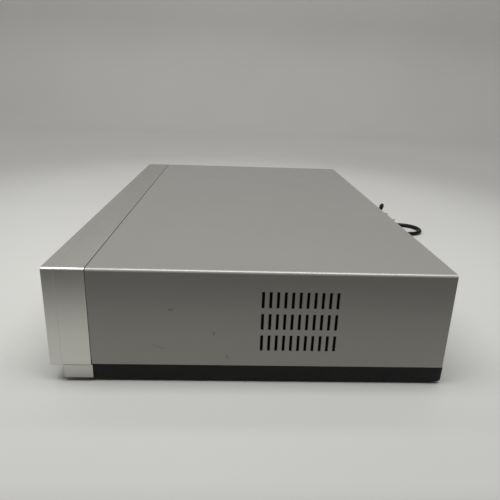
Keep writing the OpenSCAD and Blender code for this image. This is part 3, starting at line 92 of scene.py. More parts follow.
# ---- materials ----
NOISE_LOW, NOISE_HIGH = 0.3, 0.7  # most of a noise lies between these
STREAK_LOW, STREAK_HIGH = 0.35, 0.75  # where in their noise the streaks begin and are full
STREAK_SIZE, STREAK_ROUGHNESS, STREAK_TONE = 14.0, 0.6, 0.6
SPECK_LOW, SPECK_HIGH = 0.73, 0.77
GRAIN_DEPTH = 0.0002  # metres


def srgb(r, g, b):
    """A colour read as 0-255 sRGB, as linear RGBA."""
    line = [c / 255 for c in (r, g, b)]
    line = [c / 12.92 if c <= 0.04045 else ((c + 0.055) / 1.055) ** 2.4 for c in line]
    return (*line, 1.0)


def grey(level):
    return (level, level, level, 1.0)


def shade(colour, k):
    """A colour times k, darker or lighter."""
    return (*[min(1.0, max(0.0, c * k)) for c in colour[:3]], 1.0)


class Shader:
    """A new material; an input of a node is given as its value or as the output that feeds it."""

    def __init__(self, name):
        self.material = bpy.data.materials.new(name)
        self.material.use_nodes = True
        self.tree = self.material.node_tree
        self.bsdf = self.tree.nodes["Principled BSDF"]
        self.place = self.add("TexCoord").outputs["Object"]

    def fill(self, node, inputs):
        for key, value in inputs.items():
            if isinstance(value, bpy.types.NodeSocket):
                self.tree.links.new(value, node.inputs[key])
            else:
                node.inputs[key].default_value = value

    def add(self, kind, inputs=None, **settings):
        node = self.tree.nodes.new("ShaderNode" + kind)
        for key, value in settings.items():
            setattr(node, key, value)
        self.fill(node, inputs or {})
        return node

    def noise(self, scale, detail, stretch=(1, 1, 1), roughness=0.5):
        spread = self.add("Mapping", {"Vector": self.place, "Scale": stretch})
        return self.add("TexNoise", {"Vector": spread.outputs["Vector"], "Scale": scale, "Detail": detail,
                                     "Roughness": roughness}).outputs["Fac"]

    def ramp(self, factor, low, high, a, b):
        """Colour a up to low, b from high on."""
        node = self.add("ValToRGB", {"Fac": factor})
        for stop, position, colour in zip(node.color_ramp.elements, (low, high), (a, b)):
            stop.position = position
            stop.color = colour
        return node.outputs["Color"]

    def blend(self, factor, a, b):
        """Colour b over a."""
        return self.add("Mix", {0: factor, 6: a, 7: b}, data_type="RGBA").outputs[2]

    def remap(self, value, low, high, a, b, curve="LINEAR"):
        """A value that goes from low to high, made to go from a to b."""
        inputs = {"Value": value, "From Min": low, "From Max": high, "To Min": a, "To Max": b}
        return self.add("MapRange", inputs, interpolation_type=curve).outputs["Result"]

    def calc(self, operation, *values):
        return self.add("Math", dict(enumerate(values)), operation=operation).outputs[0]

    def axis(self, vector, name):
        return self.add("SeparateXYZ", {0: vector}).outputs[name]

    def scaled(self, colour, factor):
        return self.add("VectorMath", {0: colour, "Scale": factor}, operation="SCALE").outputs["Vector"]


def painted_foot_shade(shader, tone, low, high, factor):
    """Painted shade near the floor: the tone times the factor at the height low, fading out up to the height
    high, both in metres.
    """
    return shader.scaled(tone, shader.remap(shader.axis(shader.place, "Z"), low, high, factor, 1.0))


def painted_bend_highlight(shader, tone, painted_glint):
    """The tone, brighter on the bends between the top and the sides: a painted highlight that stands for the
    overhead lamp mirrored in the bends.
    """
    normal = shader.add("NewGeometry").outputs["Normal"]
    sideways = shader.calc("ABSOLUTE", shader.axis(normal, "X"))
    bend = shader.calc("MULTIPLY", sideways, shader.axis(normal, "Z"))
    return shader.scaled(tone, shader.calc("MULTIPLY_ADD", bend, 2 * painted_glint, 1.0))


def uneven_normal(shader, bevel, grain, grain_size):
    """Softened edges, a fine grain, or both."""
    normal = None
    if bevel:
        normal = shader.add("Bevel", {"Radius": bevel}, samples=4).outputs["Normal"]
    if grain:
        bump = shader.add("Bump", {"Strength": grain, "Distance": GRAIN_DEPTH,
                                   "Height": shader.noise(grain_size, 2.0)})
        if normal:
            shader.fill(bump, {"Normal": normal})
        normal = bump.outputs["Normal"]
    if normal:
        shader.fill(shader.bsdf, {"Normal": normal})


def streaked(shader, tone, colour, strength, stretch):
    """The tone with darker streaks; stretch is how fine they are along each axis."""
    lines = shader.noise(STREAK_SIZE, 4.0, stretch, STREAK_ROUGHNESS)
    return shader.blend(shader.ramp(lines, STREAK_LOW, STREAK_HIGH, grey(0), grey(strength)), tone,
                        shade(colour, STREAK_TONE))


def specked(shader, tone, colour, strength, size):
    """The tone with sparse specks of another colour."""
    dots = shader.ramp(shader.noise(size, 2.0), SPECK_LOW, SPECK_HIGH, grey(0), grey(strength))
    return shader.blend(dots, tone, colour)


def surface(name, colour, rough, metal=0.0, vary=0.05, size=35.0, rough_vary=0.06, grain=0.0,
            grain_size=1500.0, bevel=0.0, specks=0.0, speck_colour=None, speck_size=None, coat=0.0,
            coat_rough=0.1, specular=0.5, tint=1.0, foot=None, painted_glint=0.0, streaks=0.0, streak_stretch=None):
    """A material with a slow change of tone and an uneven gloss; the rest is added where it is asked for."""
    shader = Shader(name)
    tone = shader.ramp(shader.noise(size, 3.0), NOISE_LOW, NOISE_HIGH, shade(colour, 1 - vary),
                       shade(colour, 1 + vary))
    if streaks:
        tone = streaked(shader, tone, colour, streaks, streak_stretch)
    if specks:
        tone = specked(shader, tone, speck_colour, specks, speck_size)
    # painted shade: the tone darker at the foot, near the floor
    if foot:
        tone = painted_foot_shade(shader, tone, *foot)
    # painted highlight: the tone is made brighter on the bends
    if painted_glint:
        tone = painted_bend_highlight(shader, tone, painted_glint)
    gloss = shader.remap(shader.noise(size * 3, 4.0), NOISE_LOW, NOISE_HIGH, max(0.02, rough - rough_vary),
                         min(1.0, rough + rough_vary))
    shader.fill(shader.bsdf, {"Base Color": tone, "Roughness": gloss, "Metallic": metal,
                              "Coat Weight": coat, "Coat Roughness": coat_rough,
                              "Specular IOR Level": specular, "Specular Tint": grey(tint)})
    uneven_normal(shader, bevel, grain, grain_size)
    return shader.material


def window_material():
    """Smoked acrylic: mostly dark, a little of what is behind shows through."""
    mat = surface("window_smoke", srgb(18, 18, 20), 0.08, vary=0.1, size=30, rough_vary=0.03, coat=0.6,
                  coat_rough=0.03)
    mat.node_tree.nodes["Principled BSDF"].inputs["Alpha"].default_value = 0.72
    return mat


def plain(name, colour, rough=0.45, glow=0.0):
    """An even paint or ink."""
    mat = surface(name, colour, rough, vary=0.04, size=200, grain=0.1, grain_size=2400)
    if glow:
        bsdf = mat.node_tree.nodes["Principled BSDF"]
        bsdf.inputs["Emission Color"].default_value = colour
        bsdf.inputs["Emission Strength"].default_value = glow
    return mat


# the silver paint of the front mouldings
SILVER = {"metal": 0.8, "tint": 0.5, "vary": 0.012, "size": 16, "rough_vary": 0.02, "grain": 0.05,
          "grain_size": 3000}
MATS = {
    # the cover's paint is painted brighter on its bends: a painted highlight
    "cover": surface("cover_paint", srgb(150, 148, 143), 0.3, metal=0.2, tint=0.5, coat=0.3, vary=0.012,
                     size=12, rough_vary=0.02, painted_glint=0.7),
    # the panel is painted darker at its foot, near the floor: painted shade
    "panel": surface("panel_silver", srgb(214, 213, 207), 0.3, foot=(0.003, 0.016, 0.66), bevel=0.0005,
                     **SILVER),
    "bezel": surface("bezel_silver", srgb(214, 213, 207), 0.3, bevel=0.0006, **SILVER),
    "chassis": surface("chassis_black", srgb(20, 19, 20), 0.5, specular=0.25, vary=0.12, size=40,
                       grain=0.35, grain_size=1800),
    "rear": surface("rear_grey", srgb(92, 92, 94), 0.45, metal=0.6, vary=0.05, size=20, streaks=0.25,
                    streak_stretch=(60, 1, 1), grain=0.2, grain_size=2000),
    "foot": surface("foot_rubber", srgb(28, 28, 28), 0.8, vary=0.15, size=120, grain=0.5, grain_size=900),
    "screw": surface("screw_zinc", srgb(84, 84, 88), 0.35, metal=1.0, vary=0.15, size=300, bevel=0.0002),
    "display": surface("display_glass", srgb(24, 44, 42), 0.18, vary=0.1, size=60, grain=0.1, coat=0.6),
    "board": surface("board_green", srgb(28, 84, 44), 0.4, vary=0.18, size=90, streaks=0.4,
                     streak_stretch=(40, 3, 1), grain=0.3, grain_size=700, specks=0.6,
                     speck_colour=srgb(170, 172, 168), speck_size=260),
    "tan_board": surface("board_tan", srgb(150, 118, 66), 0.5, vary=0.12, size=90, grain=0.3, grain_size=800,
                         specks=0.5, speck_colour=srgb(150, 150, 146), speck_size=220),
    "core": surface("core_iron", srgb(76, 72, 66), 0.55, metal=0.4, vary=0.15, size=60, streaks=0.7,
                    streak_stretch=(1, 1, 120)),
    "alu": surface("sink_aluminium", srgb(176, 178, 182), 0.34, metal=1.0, vary=0.05, size=40, streaks=0.3,
                   streak_stretch=(80, 80, 1), bevel=0.0003),
    "tin": surface("tinned_steel", srgb(170, 168, 160), 0.3, metal=1.0, vary=0.1, size=80, grain=0.3,
                   grain_size=300, bevel=0.0003),
    "black": surface("moulded_black", srgb(26, 26, 28), 0.42, vary=0.12, size=60, grain=0.4, grain_size=1600,
                     bevel=0.0004),
    "cord": surface("cord_sheath", srgb(9, 9, 9), 0.4, specular=0.25, vary=0.15, size=80, grain=0.25,
                    grain_size=1200),
    "gear": surface("gear_acetal", srgb(222, 216, 198), 0.35, vary=0.04, size=60, grain=0.1, bevel=0.0002),
    "steel": surface("zinc_steel", srgb(168, 170, 174), 0.3, metal=1.0, vary=0.08, size=30, streaks=0.25,
                     streak_stretch=(50, 1, 1), bevel=0.0003),
    "rubber": surface("roller_rubber", srgb(30, 29, 29), 0.7, vary=0.12, size=150, grain=0.4,
                      grain_size=1400),
    "drum": surface("drum_metal", srgb(200, 202, 205), 0.16, metal=1.0, vary=0.03, size=40, streaks=0.35,
                    streak_stretch=(1, 1, 260)),
    "key": surface("key_silver", srgb(188, 188, 184), 0.28, metal=0.5, vary=0.03, size=60, grain=0.1,
                   bevel=0.0005),
    "jack": surface("plated_jack", srgb(214, 178, 104), 0.25, metal=1.0, vary=0.06, size=200, bevel=0.0002),
    "tie": surface("tie_coating", srgb(11, 11, 11), 0.38, specular=0.35, vary=0.12, size=150, grain=0.15,
                   grain_size=900),
    "nickel": surface("plated_nickel", srgb(196, 192, 184), 0.24, metal=1.0, vary=0.05, size=200,
                      grain=0.08),
    "window": window_material(),
}

SLOT_OF = {row["node"]: row["material_slot"] for row in frame["record"]["subparts"]}
for node_name, obj in NODES.items():
    obj.data.materials.clear()
    obj.data.materials.append(MATS[SLOT_OF[node_name]])


# ---- mains cord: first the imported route, then the turns of its coil, up to the plug's tail ----
CORD_D = 5.5
ROUTE = [(-145, 157.5, 30), (-145, 161, 30), (-145, 168, 29), (-145.3, 176, 26), (-145.8, 182, 22),
         (-146.4, 187.5, 16.5), (-147.2, 193, 11), (-148.2, 199, 6.8), (-149.8, 207, 3.8),
         (-151.6, 215, 2.8), (-153.2, 222, 2.8), (-154.8, 230, 2.8), (-156.1, 238, 2.8),
         (-159.2, 248.7, 2.8), (-167.8, 257.3, 2.8), (-179.5, 260.4, 2.8), (-191.2, 257.3, 2.8),
         (-199.8, 248.7, 2.8), (-202.9, 237, 2.8), (-205.3, 222, 2.8), (-208, 206, 2.8)]
COIL_X, COIL_Y, _ = middle("cord_coil")
COIL_MID = Vector((COIL_X, COIL_Y, 0))
COIL_R, LYING_Z = 35.5, 2.8  # the largest turn, and the height of the cord's middle on the floor
COIL_STEP = 15  # degrees between the points of the coil
COIL_END = 2480  # degrees of the whole coil
OUTER, MID, INNER = [COIL_R - CORD_D * i for i in range(3)]
FIRST, SECOND, THIRD = [LYING_Z + CORD_D * i for i in range(3)]
TAIL_Z = middle("mains_plug")[2]
# along the coil, in degrees turned: the radius of the turn, and the height of the cord's middle
TURN_R = [(0, OUTER), (180, OUTER), (360, MID), (540, MID), (720, INNER), (1260, INNER), (1440, MID),
          (1620, MID), (1800, OUTER), (1920, OUTER), (2040, MID), (2220, MID), (2340, INNER),
          (COIL_END, INNER)]
TURN_Z = [(0, FIRST), (900, FIRST), (1080, SECOND), (1800, SECOND), (1950, THIRD), (2350, THIRD),
          (COIL_END, TAIL_Z)]
# where the cord climbs to the second layer, it bows inwards
CLIMB_FROM, CLIMB_LENGTH, CLIMB_BOW = 840, 300, 2.7


def clamp(t):
    return min(1.0, max(0.0, t))


def smooth(t):
    return clamp(t) ** 2 * (3 - 2 * clamp(t))


def read_off(table, at):
    """The value of a table of (place, value) rows, with soft steps between the rows."""
    for (a, low), (b, high) in zip(table[:-1], table[1:]):
        if at <= b:
            return low + (high - low) * smooth((at - a) / (b - a))
    return table[-1][1]


def coil_points():
    """Nearly seven turns: inwards on the floor, outwards on top of them and inwards in a third layer."""
    points = []
    for turned in [COIL_STEP * i for i in range(COIL_END // COIL_STEP)] + [COIL_END]:
        climb = clamp((turned - CLIMB_FROM) / CLIMB_LENGTH)
        r = read_off(TURN_R, turned) - CLIMB_BOW * math.sin(math.pi * climb) ** 2
        angle = math.radians(-turned)
        z = read_off(TURN_Z, turned)
        points.append((COIL_X + r * math.cos(angle), COIL_Y + r * math.sin(angle), z))
    return points


def sweep(name, points, diameter, material, steps=4, round_steps=5):
    """A round rope along points in millimetres, as one smooth open curve."""
    data = bpy.data.curves.new(name, "CURVE")
    data.dimensions = "3D"
    data.bevel_depth = diameter / 2 * MM
    data.bevel_resolution = round_steps
    data.resolution_u = steps
    data.use_fill_caps = True
    line = data.splines.new("BEZIER")
    line.bezier_points.add(len(points) - 1)
    spots = [Vector(p) * MM for p in points]
    for i, spot in enumerate(spots):
        before, after = spots[max(0, i - 1)], spots[min(len(spots) - 1, i + 1)]
        along = (after - before).normalized()
        knot = line.bezier_points[i]
        knot.handle_left_type = knot.handle_right_type = "FREE"
        knot.co = spot
        knot.handle_left = spot - along * (spot - before).length / 3
        knot.handle_right = spot + along * (after - spot).length / 3
    data.materials.append(material)
    obj = bpy.data.objects.new(name, data)
    scene.collection.objects.link(obj)
    return obj


cord = sweep("power_cord_run", ROUTE + coil_points(), CORD_D, MATS["cord"])
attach(cord, "case")
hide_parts("power_cord", "cord_coil")


# ---- helpers for meshes, in millimetres ----
def put(name, bm, material, smooth_faces=True):
    """A mesh piece, built in millimetres, placed in metres."""
    bmesh.ops.scale(bm, vec=(MM, MM, MM), verts=bm.verts)
    bmesh.ops.recalc_face_normals(bm, faces=bm.faces)
    mesh = bpy.data.meshes.new(name)
    bm.to_mesh(mesh)
    bm.free()
    for face in mesh.polygons:
        face.use_smooth = smooth_faces
    mesh.materials.append(material)
    obj = bpy.data.objects.new(name, mesh)
    scene.collection.objects.link(obj)
    return obj


def crease(obj):
    """Sharp edges where faces meet at more than 40 degrees."""
    obj.modifiers.new("edges", "EDGE_SPLIT").split_angle = math.radians(40)


def loft(bm, rings, closed=False):
    """Quads between rings of points; both ends are capped unless the rings close on themselves."""
    rows = [[bm.verts.new(p) for p in ring] for ring in rings]
    count = len(rows)
    for i in range(count if closed else count - 1):
        a, b = rows[i], rows[(i + 1) % count]
        for j in range(len(a)):
            k = (j + 1) % len(a)
            bm.faces.new((a[j], a[k], b[k], b[j]))
    if not closed:
        bm.faces.new(rows[0][::-1])
        bm.faces.new(rows[-1])


def side_slab(bm, outline, from_x, to_x):
    """A (y, z) outline made solid between two places along X."""
    loft(bm, [[(x, y, z) for y, z in outline] for x in (from_x, to_x)])


def circle(cx, cz, r, steps):
    return [(cx + r * math.cos(math.tau * i / steps), cz + r * math.sin(math.tau * i / steps))
            for i in range(steps)]


# ---- the tie round the coil ----
TIE_AT = 18  # the coil's point where the tie sits
PATH_POINTS, PATH_OVER_FLOOR, BAND_OVER_FLOOR = 64, 0.2, 0.05
CORD_SIDES = 24  # points round the cord that the tie is drawn over
# the band's section, as (across, away from the turns): flat, with a wire in its middle
BAND_SECTION = [(-2.2, 0.1), (-2.4, 0.35), (-2.2, 0.6), (-0.7, 0.65), (0, 1.1), (0.7, 0.65), (2.2, 0.6),
                (2.4, 0.35), (2.2, 0.1), (0, 0.0)]
# the pigtail of the tie's two ends: it starts over the band, where 1.5 times the distance from the coil's
# middle plus the height is largest, leans outwards, and its curl narrows
PIGTAIL_FAR_OUT = 1.5
PIGTAIL_UP, PIGTAIL_LEAN, PIGTAIL_D, PIGTAIL_STEPS = 0.8, 0.25, 2.6, 40
CURL_TURNS, CURL_H, CURL_R, CURL_NARROWS, CURL_BACK = 1.35, 4.6, 5.4, 2.2, 1.2
TWIST_TURNS, TWIST_WIDE, TWIST_HIGH = 4.0, 0.95, 0.7


def hull_2d(points):
    """The convex outline of points in a plane, anticlockwise."""
    points = sorted(set(points))

    def half(row):
        out = []
        for p in row:
            while len(out) > 1 and ((out[-1][0] - out[-2][0]) * (p[1] - out[-2][1])
                                    - (out[-1][1] - out[-2][1]) * (p[0] - out[-2][0])) <= 0:
                out.pop()
            out.append(p)
        return out[:-1]

    return half(points) + half(points[::-1])


def spaced(outline, count):
    """Points at even distances along a closed outline in a plane."""
    sides = list(zip(outline, outline[1:] + outline[:1]))
    total = sum(math.dist(a, b) for a, b in sides)
    path = []
    for k in range(count):
        want = total * k / count
        for a, b in sides:
            gap = math.dist(a, b)
            if want <= gap:
                path.append((a[0] + (b[0] - a[0]) * want / gap, a[1] + (b[1] - a[1]) * want / gap))
                break
            want -= gap
    return path


def tie_path(out):
    """The closed line of the tie round all the turns, as (distance from the coil's middle, height)."""
    rim = []
    for point in coil_points()[TIE_AT::360 // COIL_STEP]:
        spot = Vector(point) - COIL_MID
        for r, z in circle(spot.dot(out), spot.z, CORD_D / 2, CORD_SIDES):
            rim.append((round(r, 3), round(max(PATH_OVER_FLOOR, z), 3)))
    return spaced(hull_2d(rim), PATH_POINTS)


def tie_band(path, out, side):
    """The flat band along the tie's line."""
    rings = []
    for k, (r, z) in enumerate(path):
        a, b = path[k - 1], path[(k + 1) % len(path)]
        away = Vector((b[1] - a[1], a[0] - b[0])).normalized()
        rings.append([COIL_MID + out * (r + away[0] * h) + side * w
                      + Vector((0, 0, max(BAND_OVER_FLOOR, z + away[1] * h))) for w, h in BAND_SECTION])
    bm = bmesh.new()
    loft(bm, rings, closed=True)
    return put("cord_tie_band", bm, MATS["tie"])


def tie_wire(name, path, out, side, start):
    """One end of the tie, twisted round the other, both curled into a small pigtail over the band."""
    top = max(path, key=lambda spot: PIGTAIL_FAR_OUT * spot[0] + spot[1])
    foot = COIL_MID + out * top[0] + Vector((0, 0, top[1] + PIGTAIL_UP))
    up = (Vector((0, 0, 1)) + out * PIGTAIL_LEAN).normalized()
    points = []
    for i in range(PIGTAIL_STEPS + 1):
        t = i / PIGTAIL_STEPS
        bend = CURL_TURNS * math.tau * t
        wide = CURL_R - CURL_NARROWS * t
        spine = foot + up * (CURL_H - CURL_H * math.cos(bend) * wide / CURL_R)
        spine += side * (wide * math.sin(bend)) - out * (CURL_BACK * t)
        a = start + TWIST_TURNS * math.tau * t
        points.append(tuple(spine + out * (TWIST_WIDE * math.cos(a)) + up * (TWIST_HIGH * math.sin(a))))
    return sweep(name, points, PIGTAIL_D, MATS["tie"], steps=3, round_steps=3)


def make_tie():
    """A flat coated-wire tie round all the turns, its two ends twisted together."""
    turn = math.radians(-COIL_STEP * TIE_AT)
    out = Vector((math.cos(turn), math.sin(turn), 0))
    side = Vector((-out.y, out.x, 0))
    path = tie_path(out)
    pieces = [tie_band(path, out, side), tie_wire("cord_tie_wire_a", path, out, side, 0),
              tie_wire("cord_tie_wire_b", path, out, side, math.pi)]
    for piece in pieces:
        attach(piece, "case")


make_tie()


# ---- flat outlines in (x, z), for printed symbols and digits ----
INK = plain("symbol_ink", srgb(52, 53, 56))
RED = plain("socket_red", srgb(178, 34, 30))
YELLOW = plain("socket_yellow", srgb(214, 176, 28))
WHITE = plain("socket_white", srgb(222, 222, 214))
GREEN = plain("socket_green", srgb(34, 128, 62))
BLUE = plain("socket_blue", srgb(32, 70, 158))
DIGIT = plain("display_digit", srgb(120, 214, 196), 0.3, glow=0.7)
ARC_STEPS = 40
ARROW_HALF_W = 0.58  # half an arrow's width, in its lengths
INK_SUNK, INK_PROUD = 0.02, 0.07  # how far printed shapes reach into their surface and out of it


def arc(cx, cz, inner, outer, start, end):
    """An open band along an arc, in degrees from straight up, as one outline."""
    turns = [math.radians(start + (end - start) * i / ARC_STEPS) for i in range(ARC_STEPS + 1)]
    far = [(cx + outer * math.sin(a), cz + outer * math.cos(a)) for a in turns]
    near = [(cx + inner * math.sin(a), cz + inner * math.cos(a)) for a in reversed(turns)]
    return far + near


def disc(cx, cz, r, steps=ARC_STEPS):
    """A circle that starts straight up."""
    turns = [math.tau * i / steps for i in range(steps)]
    return [(cx + r * math.sin(a), cz + r * math.cos(a)) for a in turns]


def bar(cx, cz, w, h):
    return [(cx + i * w / 2, cz + j * h / 2) for i, j in ((-1, -1), (1, -1), (1, 1), (-1, 1))]


def arrow(cx, cz, size, way):
    """A filled triangle; way is the step that its tip points along."""
    dx, dz = way
    half_w = size * ARROW_HALF_W
    back_x, back_z = cx - dx * size / 2, cz - dz * size / 2
    return [(cx + dx * size / 2, cz + dz * size / 2), (back_x - dz * half_w, back_z + dx * half_w),
            (back_x + dz * half_w, back_z - dx * half_w)]


def print_on(name, outlines, face_y, body, material):
    """Thin shapes that lie on a surface facing the front."""
    bm = bmesh.new()
    for line in outlines:
        loft(bm, [[(x, y, z) for x, z in line] for y in (face_y + INK_SUNK, face_y - INK_PROUD)])
    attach(put(name, bm, material, smooth_faces=False), body)


UP, DOWN, LEFT, RIGHT = (0, 1), (0, -1), (-1, 0), (1, 0)
# the symbol of each key, around the key's middle
SYMBOLS = {
    "power": [arc(0, -0.4, 2.5, 3.2, 32, 328), bar(0, 1.9, 0.7, 3.4)],
    "open": [arrow(0, 0.5, 2.4, UP), bar(0, -1.6, 3.4, 0.6)],
    "channel_up": [arrow(0, 0, 2.6, UP)],
    "channel_down": [arrow(0, 0, 2.6, DOWN)],
    "source": [arc(-2.4, 0, 1.0, 1.5, 0, 359), bar(2.4, 0, 3.6, 2.2)],
    "eject": [arrow(0, 0.6, 2.2, UP), bar(0, -1.4, 3.2, 0.6)],
    "rewind": [arrow(-1.2, 0, 2.2, LEFT), arrow(1.2, 0, 2.2, LEFT)],
    "stop": [bar(0, 0, 2.5, 2.5)],
    "play": [arrow(0.1, 0, 2.6, RIGHT)],
    "forward": [arrow(-1.2, 0, 2.2, RIGHT), arrow(1.2, 0, 2.2, RIGHT)],
    "record": [disc(0, 0, 1.4)],
}


def make_symbols():
    for name, outlines in SYMBOLS.items():
        face_y = box(name + "_key")[0][1]
        x, _, z = middle(name + "_key")
        moved = [[(x + dx, z + dz) for dx, dz in line] for line in outlines]
        print_on("symbol_" + name, moved, face_y, name + "_button", RED if name == "record" else INK)


# the segments' middles, in halves of the digit's width and height: the flat ones, then the upright ones
FLAT = {"a": (0, 1), "g": (0, 0), "d": (0, -1)}
UPRIGHT = {"b": (1, 0.5), "c": (1, -0.5), "f": (-1, 0.5), "e": (-1, -0.5)}
SEGMENTS = {"0": "abcdef", "1": "bc", "2": "abged"}
DIGIT_W, DIGIT_H, SEGMENT_T = 6.0, 10.0, 0.95
DIGIT_X, COLON_X, COLON_Z = (-12, -3.4, 8, 16.6), 2.3, 2.5  # from the display's middle


def segment(cx, cz, name):
    """One bar of a seven-segment digit."""
    i, j = {**FLAT, **UPRIGHT}[name]
    w, h = (DIGIT_W - SEGMENT_T, SEGMENT_T) if name in FLAT else (SEGMENT_T, DIGIT_H / 2 - SEGMENT_T)
    return bar(cx + i * DIGIT_W / 2, cz + j * DIGIT_H / 2, w, h)


def make_display():
    """Twelve o'clock in seven-segment digits, on the module behind the window."""
    cx, _, cz = middle("display_module")
    shapes = [segment(cx + x, cz, name) for x, digit in zip(DIGIT_X, "1200") for name in SEGMENTS[digit]]
    shapes += [disc(cx + COLON_X, cz + z, 0.7, 16) for z in (COLON_Z, -COLON_Z)]
    print_on("display_digits", shapes, box("display_module")[0][1], "case", DIGIT)


# ---- small marks and folds of the case ----
COVER_X = box("top_cover")[1][0]
COVER_FRONT = box("top_cover")[0][1]
PAN_X, PAN_REAR, _ = box("bottom_chassis")[1]
SHEET_T = 1.0
# small rubs and scratches in the paint of the right side, as (y, z) outlines
DEEP_MARKS = [[(-61.4, 55.8), (-60.2, 55.4), (-57.6, 55.6), (-56.8, 56.0), (-57.8, 56.3), (-60.6, 56.3)],
              [(-30.7, 39.9), (-30.0, 40.1), (-29.8, 38.1), (-30.3, 36.9), (-30.9, 37.9)]]
FAINT_MARKS = [[(-72.4, 29.4), (-70.6, 29.7), (-68.6, 28.6), (-66.0, 27.6), (-62.6, 27.0), (-62.4, 26.6),
                (-66.4, 27.0), (-69.2, 27.9), (-71.2, 29.1)],
               [(-22.3, 21.6), (-21.4, 22.8), (-20.6, 22.4), (-20.2, 20.8), (-20.8, 19.2), (-21.8, 19.4)]]
MARK_SUNK, MARK_PROUD = 0.02, 0.03
# the line over the plinth's side, as (y, z)
PLINTH_LINE = [(-132.6, 13.0), (-114.3, 13.0), (-114.1, 13.1), (-114.1, 13.25), (-114.3, 13.35),
               (-132.6, 13.35)]
LINE_DEEP = 0.02
# the hem of the cover's front edge, as (z, how far its edges are drawn in there)
HEM_ENDS = [(17.6, 0.12), (17.8, 0), (81.2, 0), (81.4, 0.12)]
# the section of the pan's hem, as (y behind the pan, z); it starts a little inside the pan
HEM_LAP = 0.2
PAN_HEM = [(-HEM_LAP, 2.15), (2.8, 2.2), (3.6, 2.6), (4.0, 3.4), (4.1, 6.0), (4.2, 10.0), (4.3, 12.6),
           (4.2, 13.4), (3.7, 13.85), (-HEM_LAP, 13.9)]
# the black sheet behind the slots, painted shade that stands for the dark inside of the case: in from the
# cover's side, and the corners of its outline in (y, z)
SHADE_SHEET_IN, SHADE_SHEET_OUT, SHADE_SHEET_R = SHEET_T + 0.55, SHEET_T + 0.03, 4
SHADE_SHEET_LOW, SHADE_SHEET_HIGH = (-4, 21), (60.5, 74.5)


def make_scuffs():
    for name, marks, tone in (("cover_scuffs", DEEP_MARKS, srgb(114, 110, 105)),
                              ("cover_rubs", FAINT_MARKS, srgb(134, 131, 126))):
        bm = bmesh.new()
        for line in marks:
            side_slab(bm, line, COVER_X - MARK_SUNK, COVER_X + MARK_PROUD)
        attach(put(name, bm, plain(name + "_paint", tone, 0.5), smooth_faces=False), "case")


def make_vent_shade_sheet():
    """A black sheet on the inside of the cover, behind the slots: painted shade that stands for the dark
    inside of the case.
    """
    front, rear = SHADE_SHEET_LOW[0] + SHADE_SHEET_R, SHADE_SHEET_HIGH[0] - SHADE_SHEET_R
    low, high = SHADE_SHEET_LOW[1] + SHADE_SHEET_R, SHADE_SHEET_HIGH[1] - SHADE_SHEET_R
    line = []
    for y, z, start in ((rear, high, 0), (front, high, 90), (front, low, 180), (rear, low, 270)):
        for turn in range(start, start + 91, 15):
            a = math.radians(turn)
            line.append((y + SHADE_SHEET_R * math.cos(a), z + SHADE_SHEET_R * math.sin(a)))
    bm = bmesh.new()
    side_slab(bm, line, COVER_X - SHADE_SHEET_IN, COVER_X - SHADE_SHEET_OUT)
    # painted shade: near-black, so the slots show dark
    paint = surface("vent_shade_black", srgb(9, 9, 9), 0.9, specular=0.1, vary=0.2, size=300, grain=0.5,
                    grain_size=2600)
    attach(put("vent_shade_sheet", bm, paint, smooth_faces=False), "case")


def make_cover_hem():
    """The turned-in hem of the cover's front edge, on both sides."""
    bm = bmesh.new()
    for side in (-1, 1):
        rings = []
        for z, tuck in HEM_ENDS:
            # out from the cover's side, and back from its front edge
            corners = [(-0.8, 0.02), (-0.8, tuck - 0.4), (-0.25 - tuck, tuck - 0.44),
                       (-0.12 - tuck, tuck - 0.3), (-0.12 - tuck, 0.02)]
            rings.append([(side * (COVER_X + x), COVER_FRONT + y, z) for x, y in corners])
        loft(bm, rings)
    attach(put("cover_front_hem", bm, MATS["cover"], smooth_faces=False), "case")


def make_plinth_line():
    """The joint line over the plinth's sides."""
    bm = bmesh.new()
    for side in (-1, 1):
        side_slab(bm, PLINTH_LINE, side * (COVER_X - LINE_DEEP), side * (COVER_X + LINE_DEEP))
    paint = plain("joint_shadow", srgb(74, 73, 70), 0.6)
    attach(put("plinth_joint", bm, paint, smooth_faces=False), "case")


def make_pan_hem():
    """The rolled hem along the rear edge of the pan, as wide as the pan and rounded at both ends."""
    # the section's places at one end, as (x, how far the section is drawn in there)
    ends = [(PAN_X + 0.05, 0.5), (PAN_X - 0.1, 0.2), (PAN_X - 0.5, 0)]
    rows = [(-x, tuck) for x, tuck in ends] + ends[::-1]
    bm = bmesh.new()
    loft(bm, [[(x, PAN_REAR + max(-HEM_LAP, y - tuck), z) for y, z in PAN_HEM] for x, tuck in rows])
    obj = put("pan_rear_hem", bm, MATS["chassis"])
    crease(obj)
    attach(obj, "case")


# ---- sockets and plug pins ----
RING_STEPS = 36
SOCKET_MOUTH = 9.03  # how far a socket's mouth stands out of its foot
FRONT_FOOT_Y, REAR_FOOT_Y = -132.5, 129.9
FRONT_COLLAR, REAR_COLLAR = 6.6, 0.25  # how far out of the foot the collar begins
FRONT_PITCH, REAR_PITCH, REAR_MARGIN = 18, 14, 8
REAR_ROWS = (30, 46)  # heights
# the pins in the plug's own frame: an outline in (x, z), the hole in it, and their places across
PIN_OUTLINE = [(38.6, 2.96), (55.6, 2.96), (57.03, 4.2), (57.03, 8.1), (55.6, 9.34), (38.6, 9.34)]
PIN_HOLE = circle(53, 6.15, 1.3, 24)
PIN_ASIDE, PIN_HALF_T = 6.35, 0.79
HOLE_HALF_T = 0.8  # a dark disc through the pin, which shows a little on both faces
PLUG_TURN = 40


def turned_ring(name, at, profile, way, material):
    """A ring turned about Y: the profile is (radius, distance along way) corners, way is 1 or -1 along Y."""
    x, y, z = at
    rings = []
    for i in range(RING_STEPS):
        a = math.tau * i / RING_STEPS
        rings.append([(x + r * math.cos(a), y + way * d, z + r * math.sin(a)) for r, d in profile])
    bm = bmesh.new()
    loft(bm, rings, closed=True)
    obj = put(name, bm, material)
    crease(obj)
    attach(obj, "case")


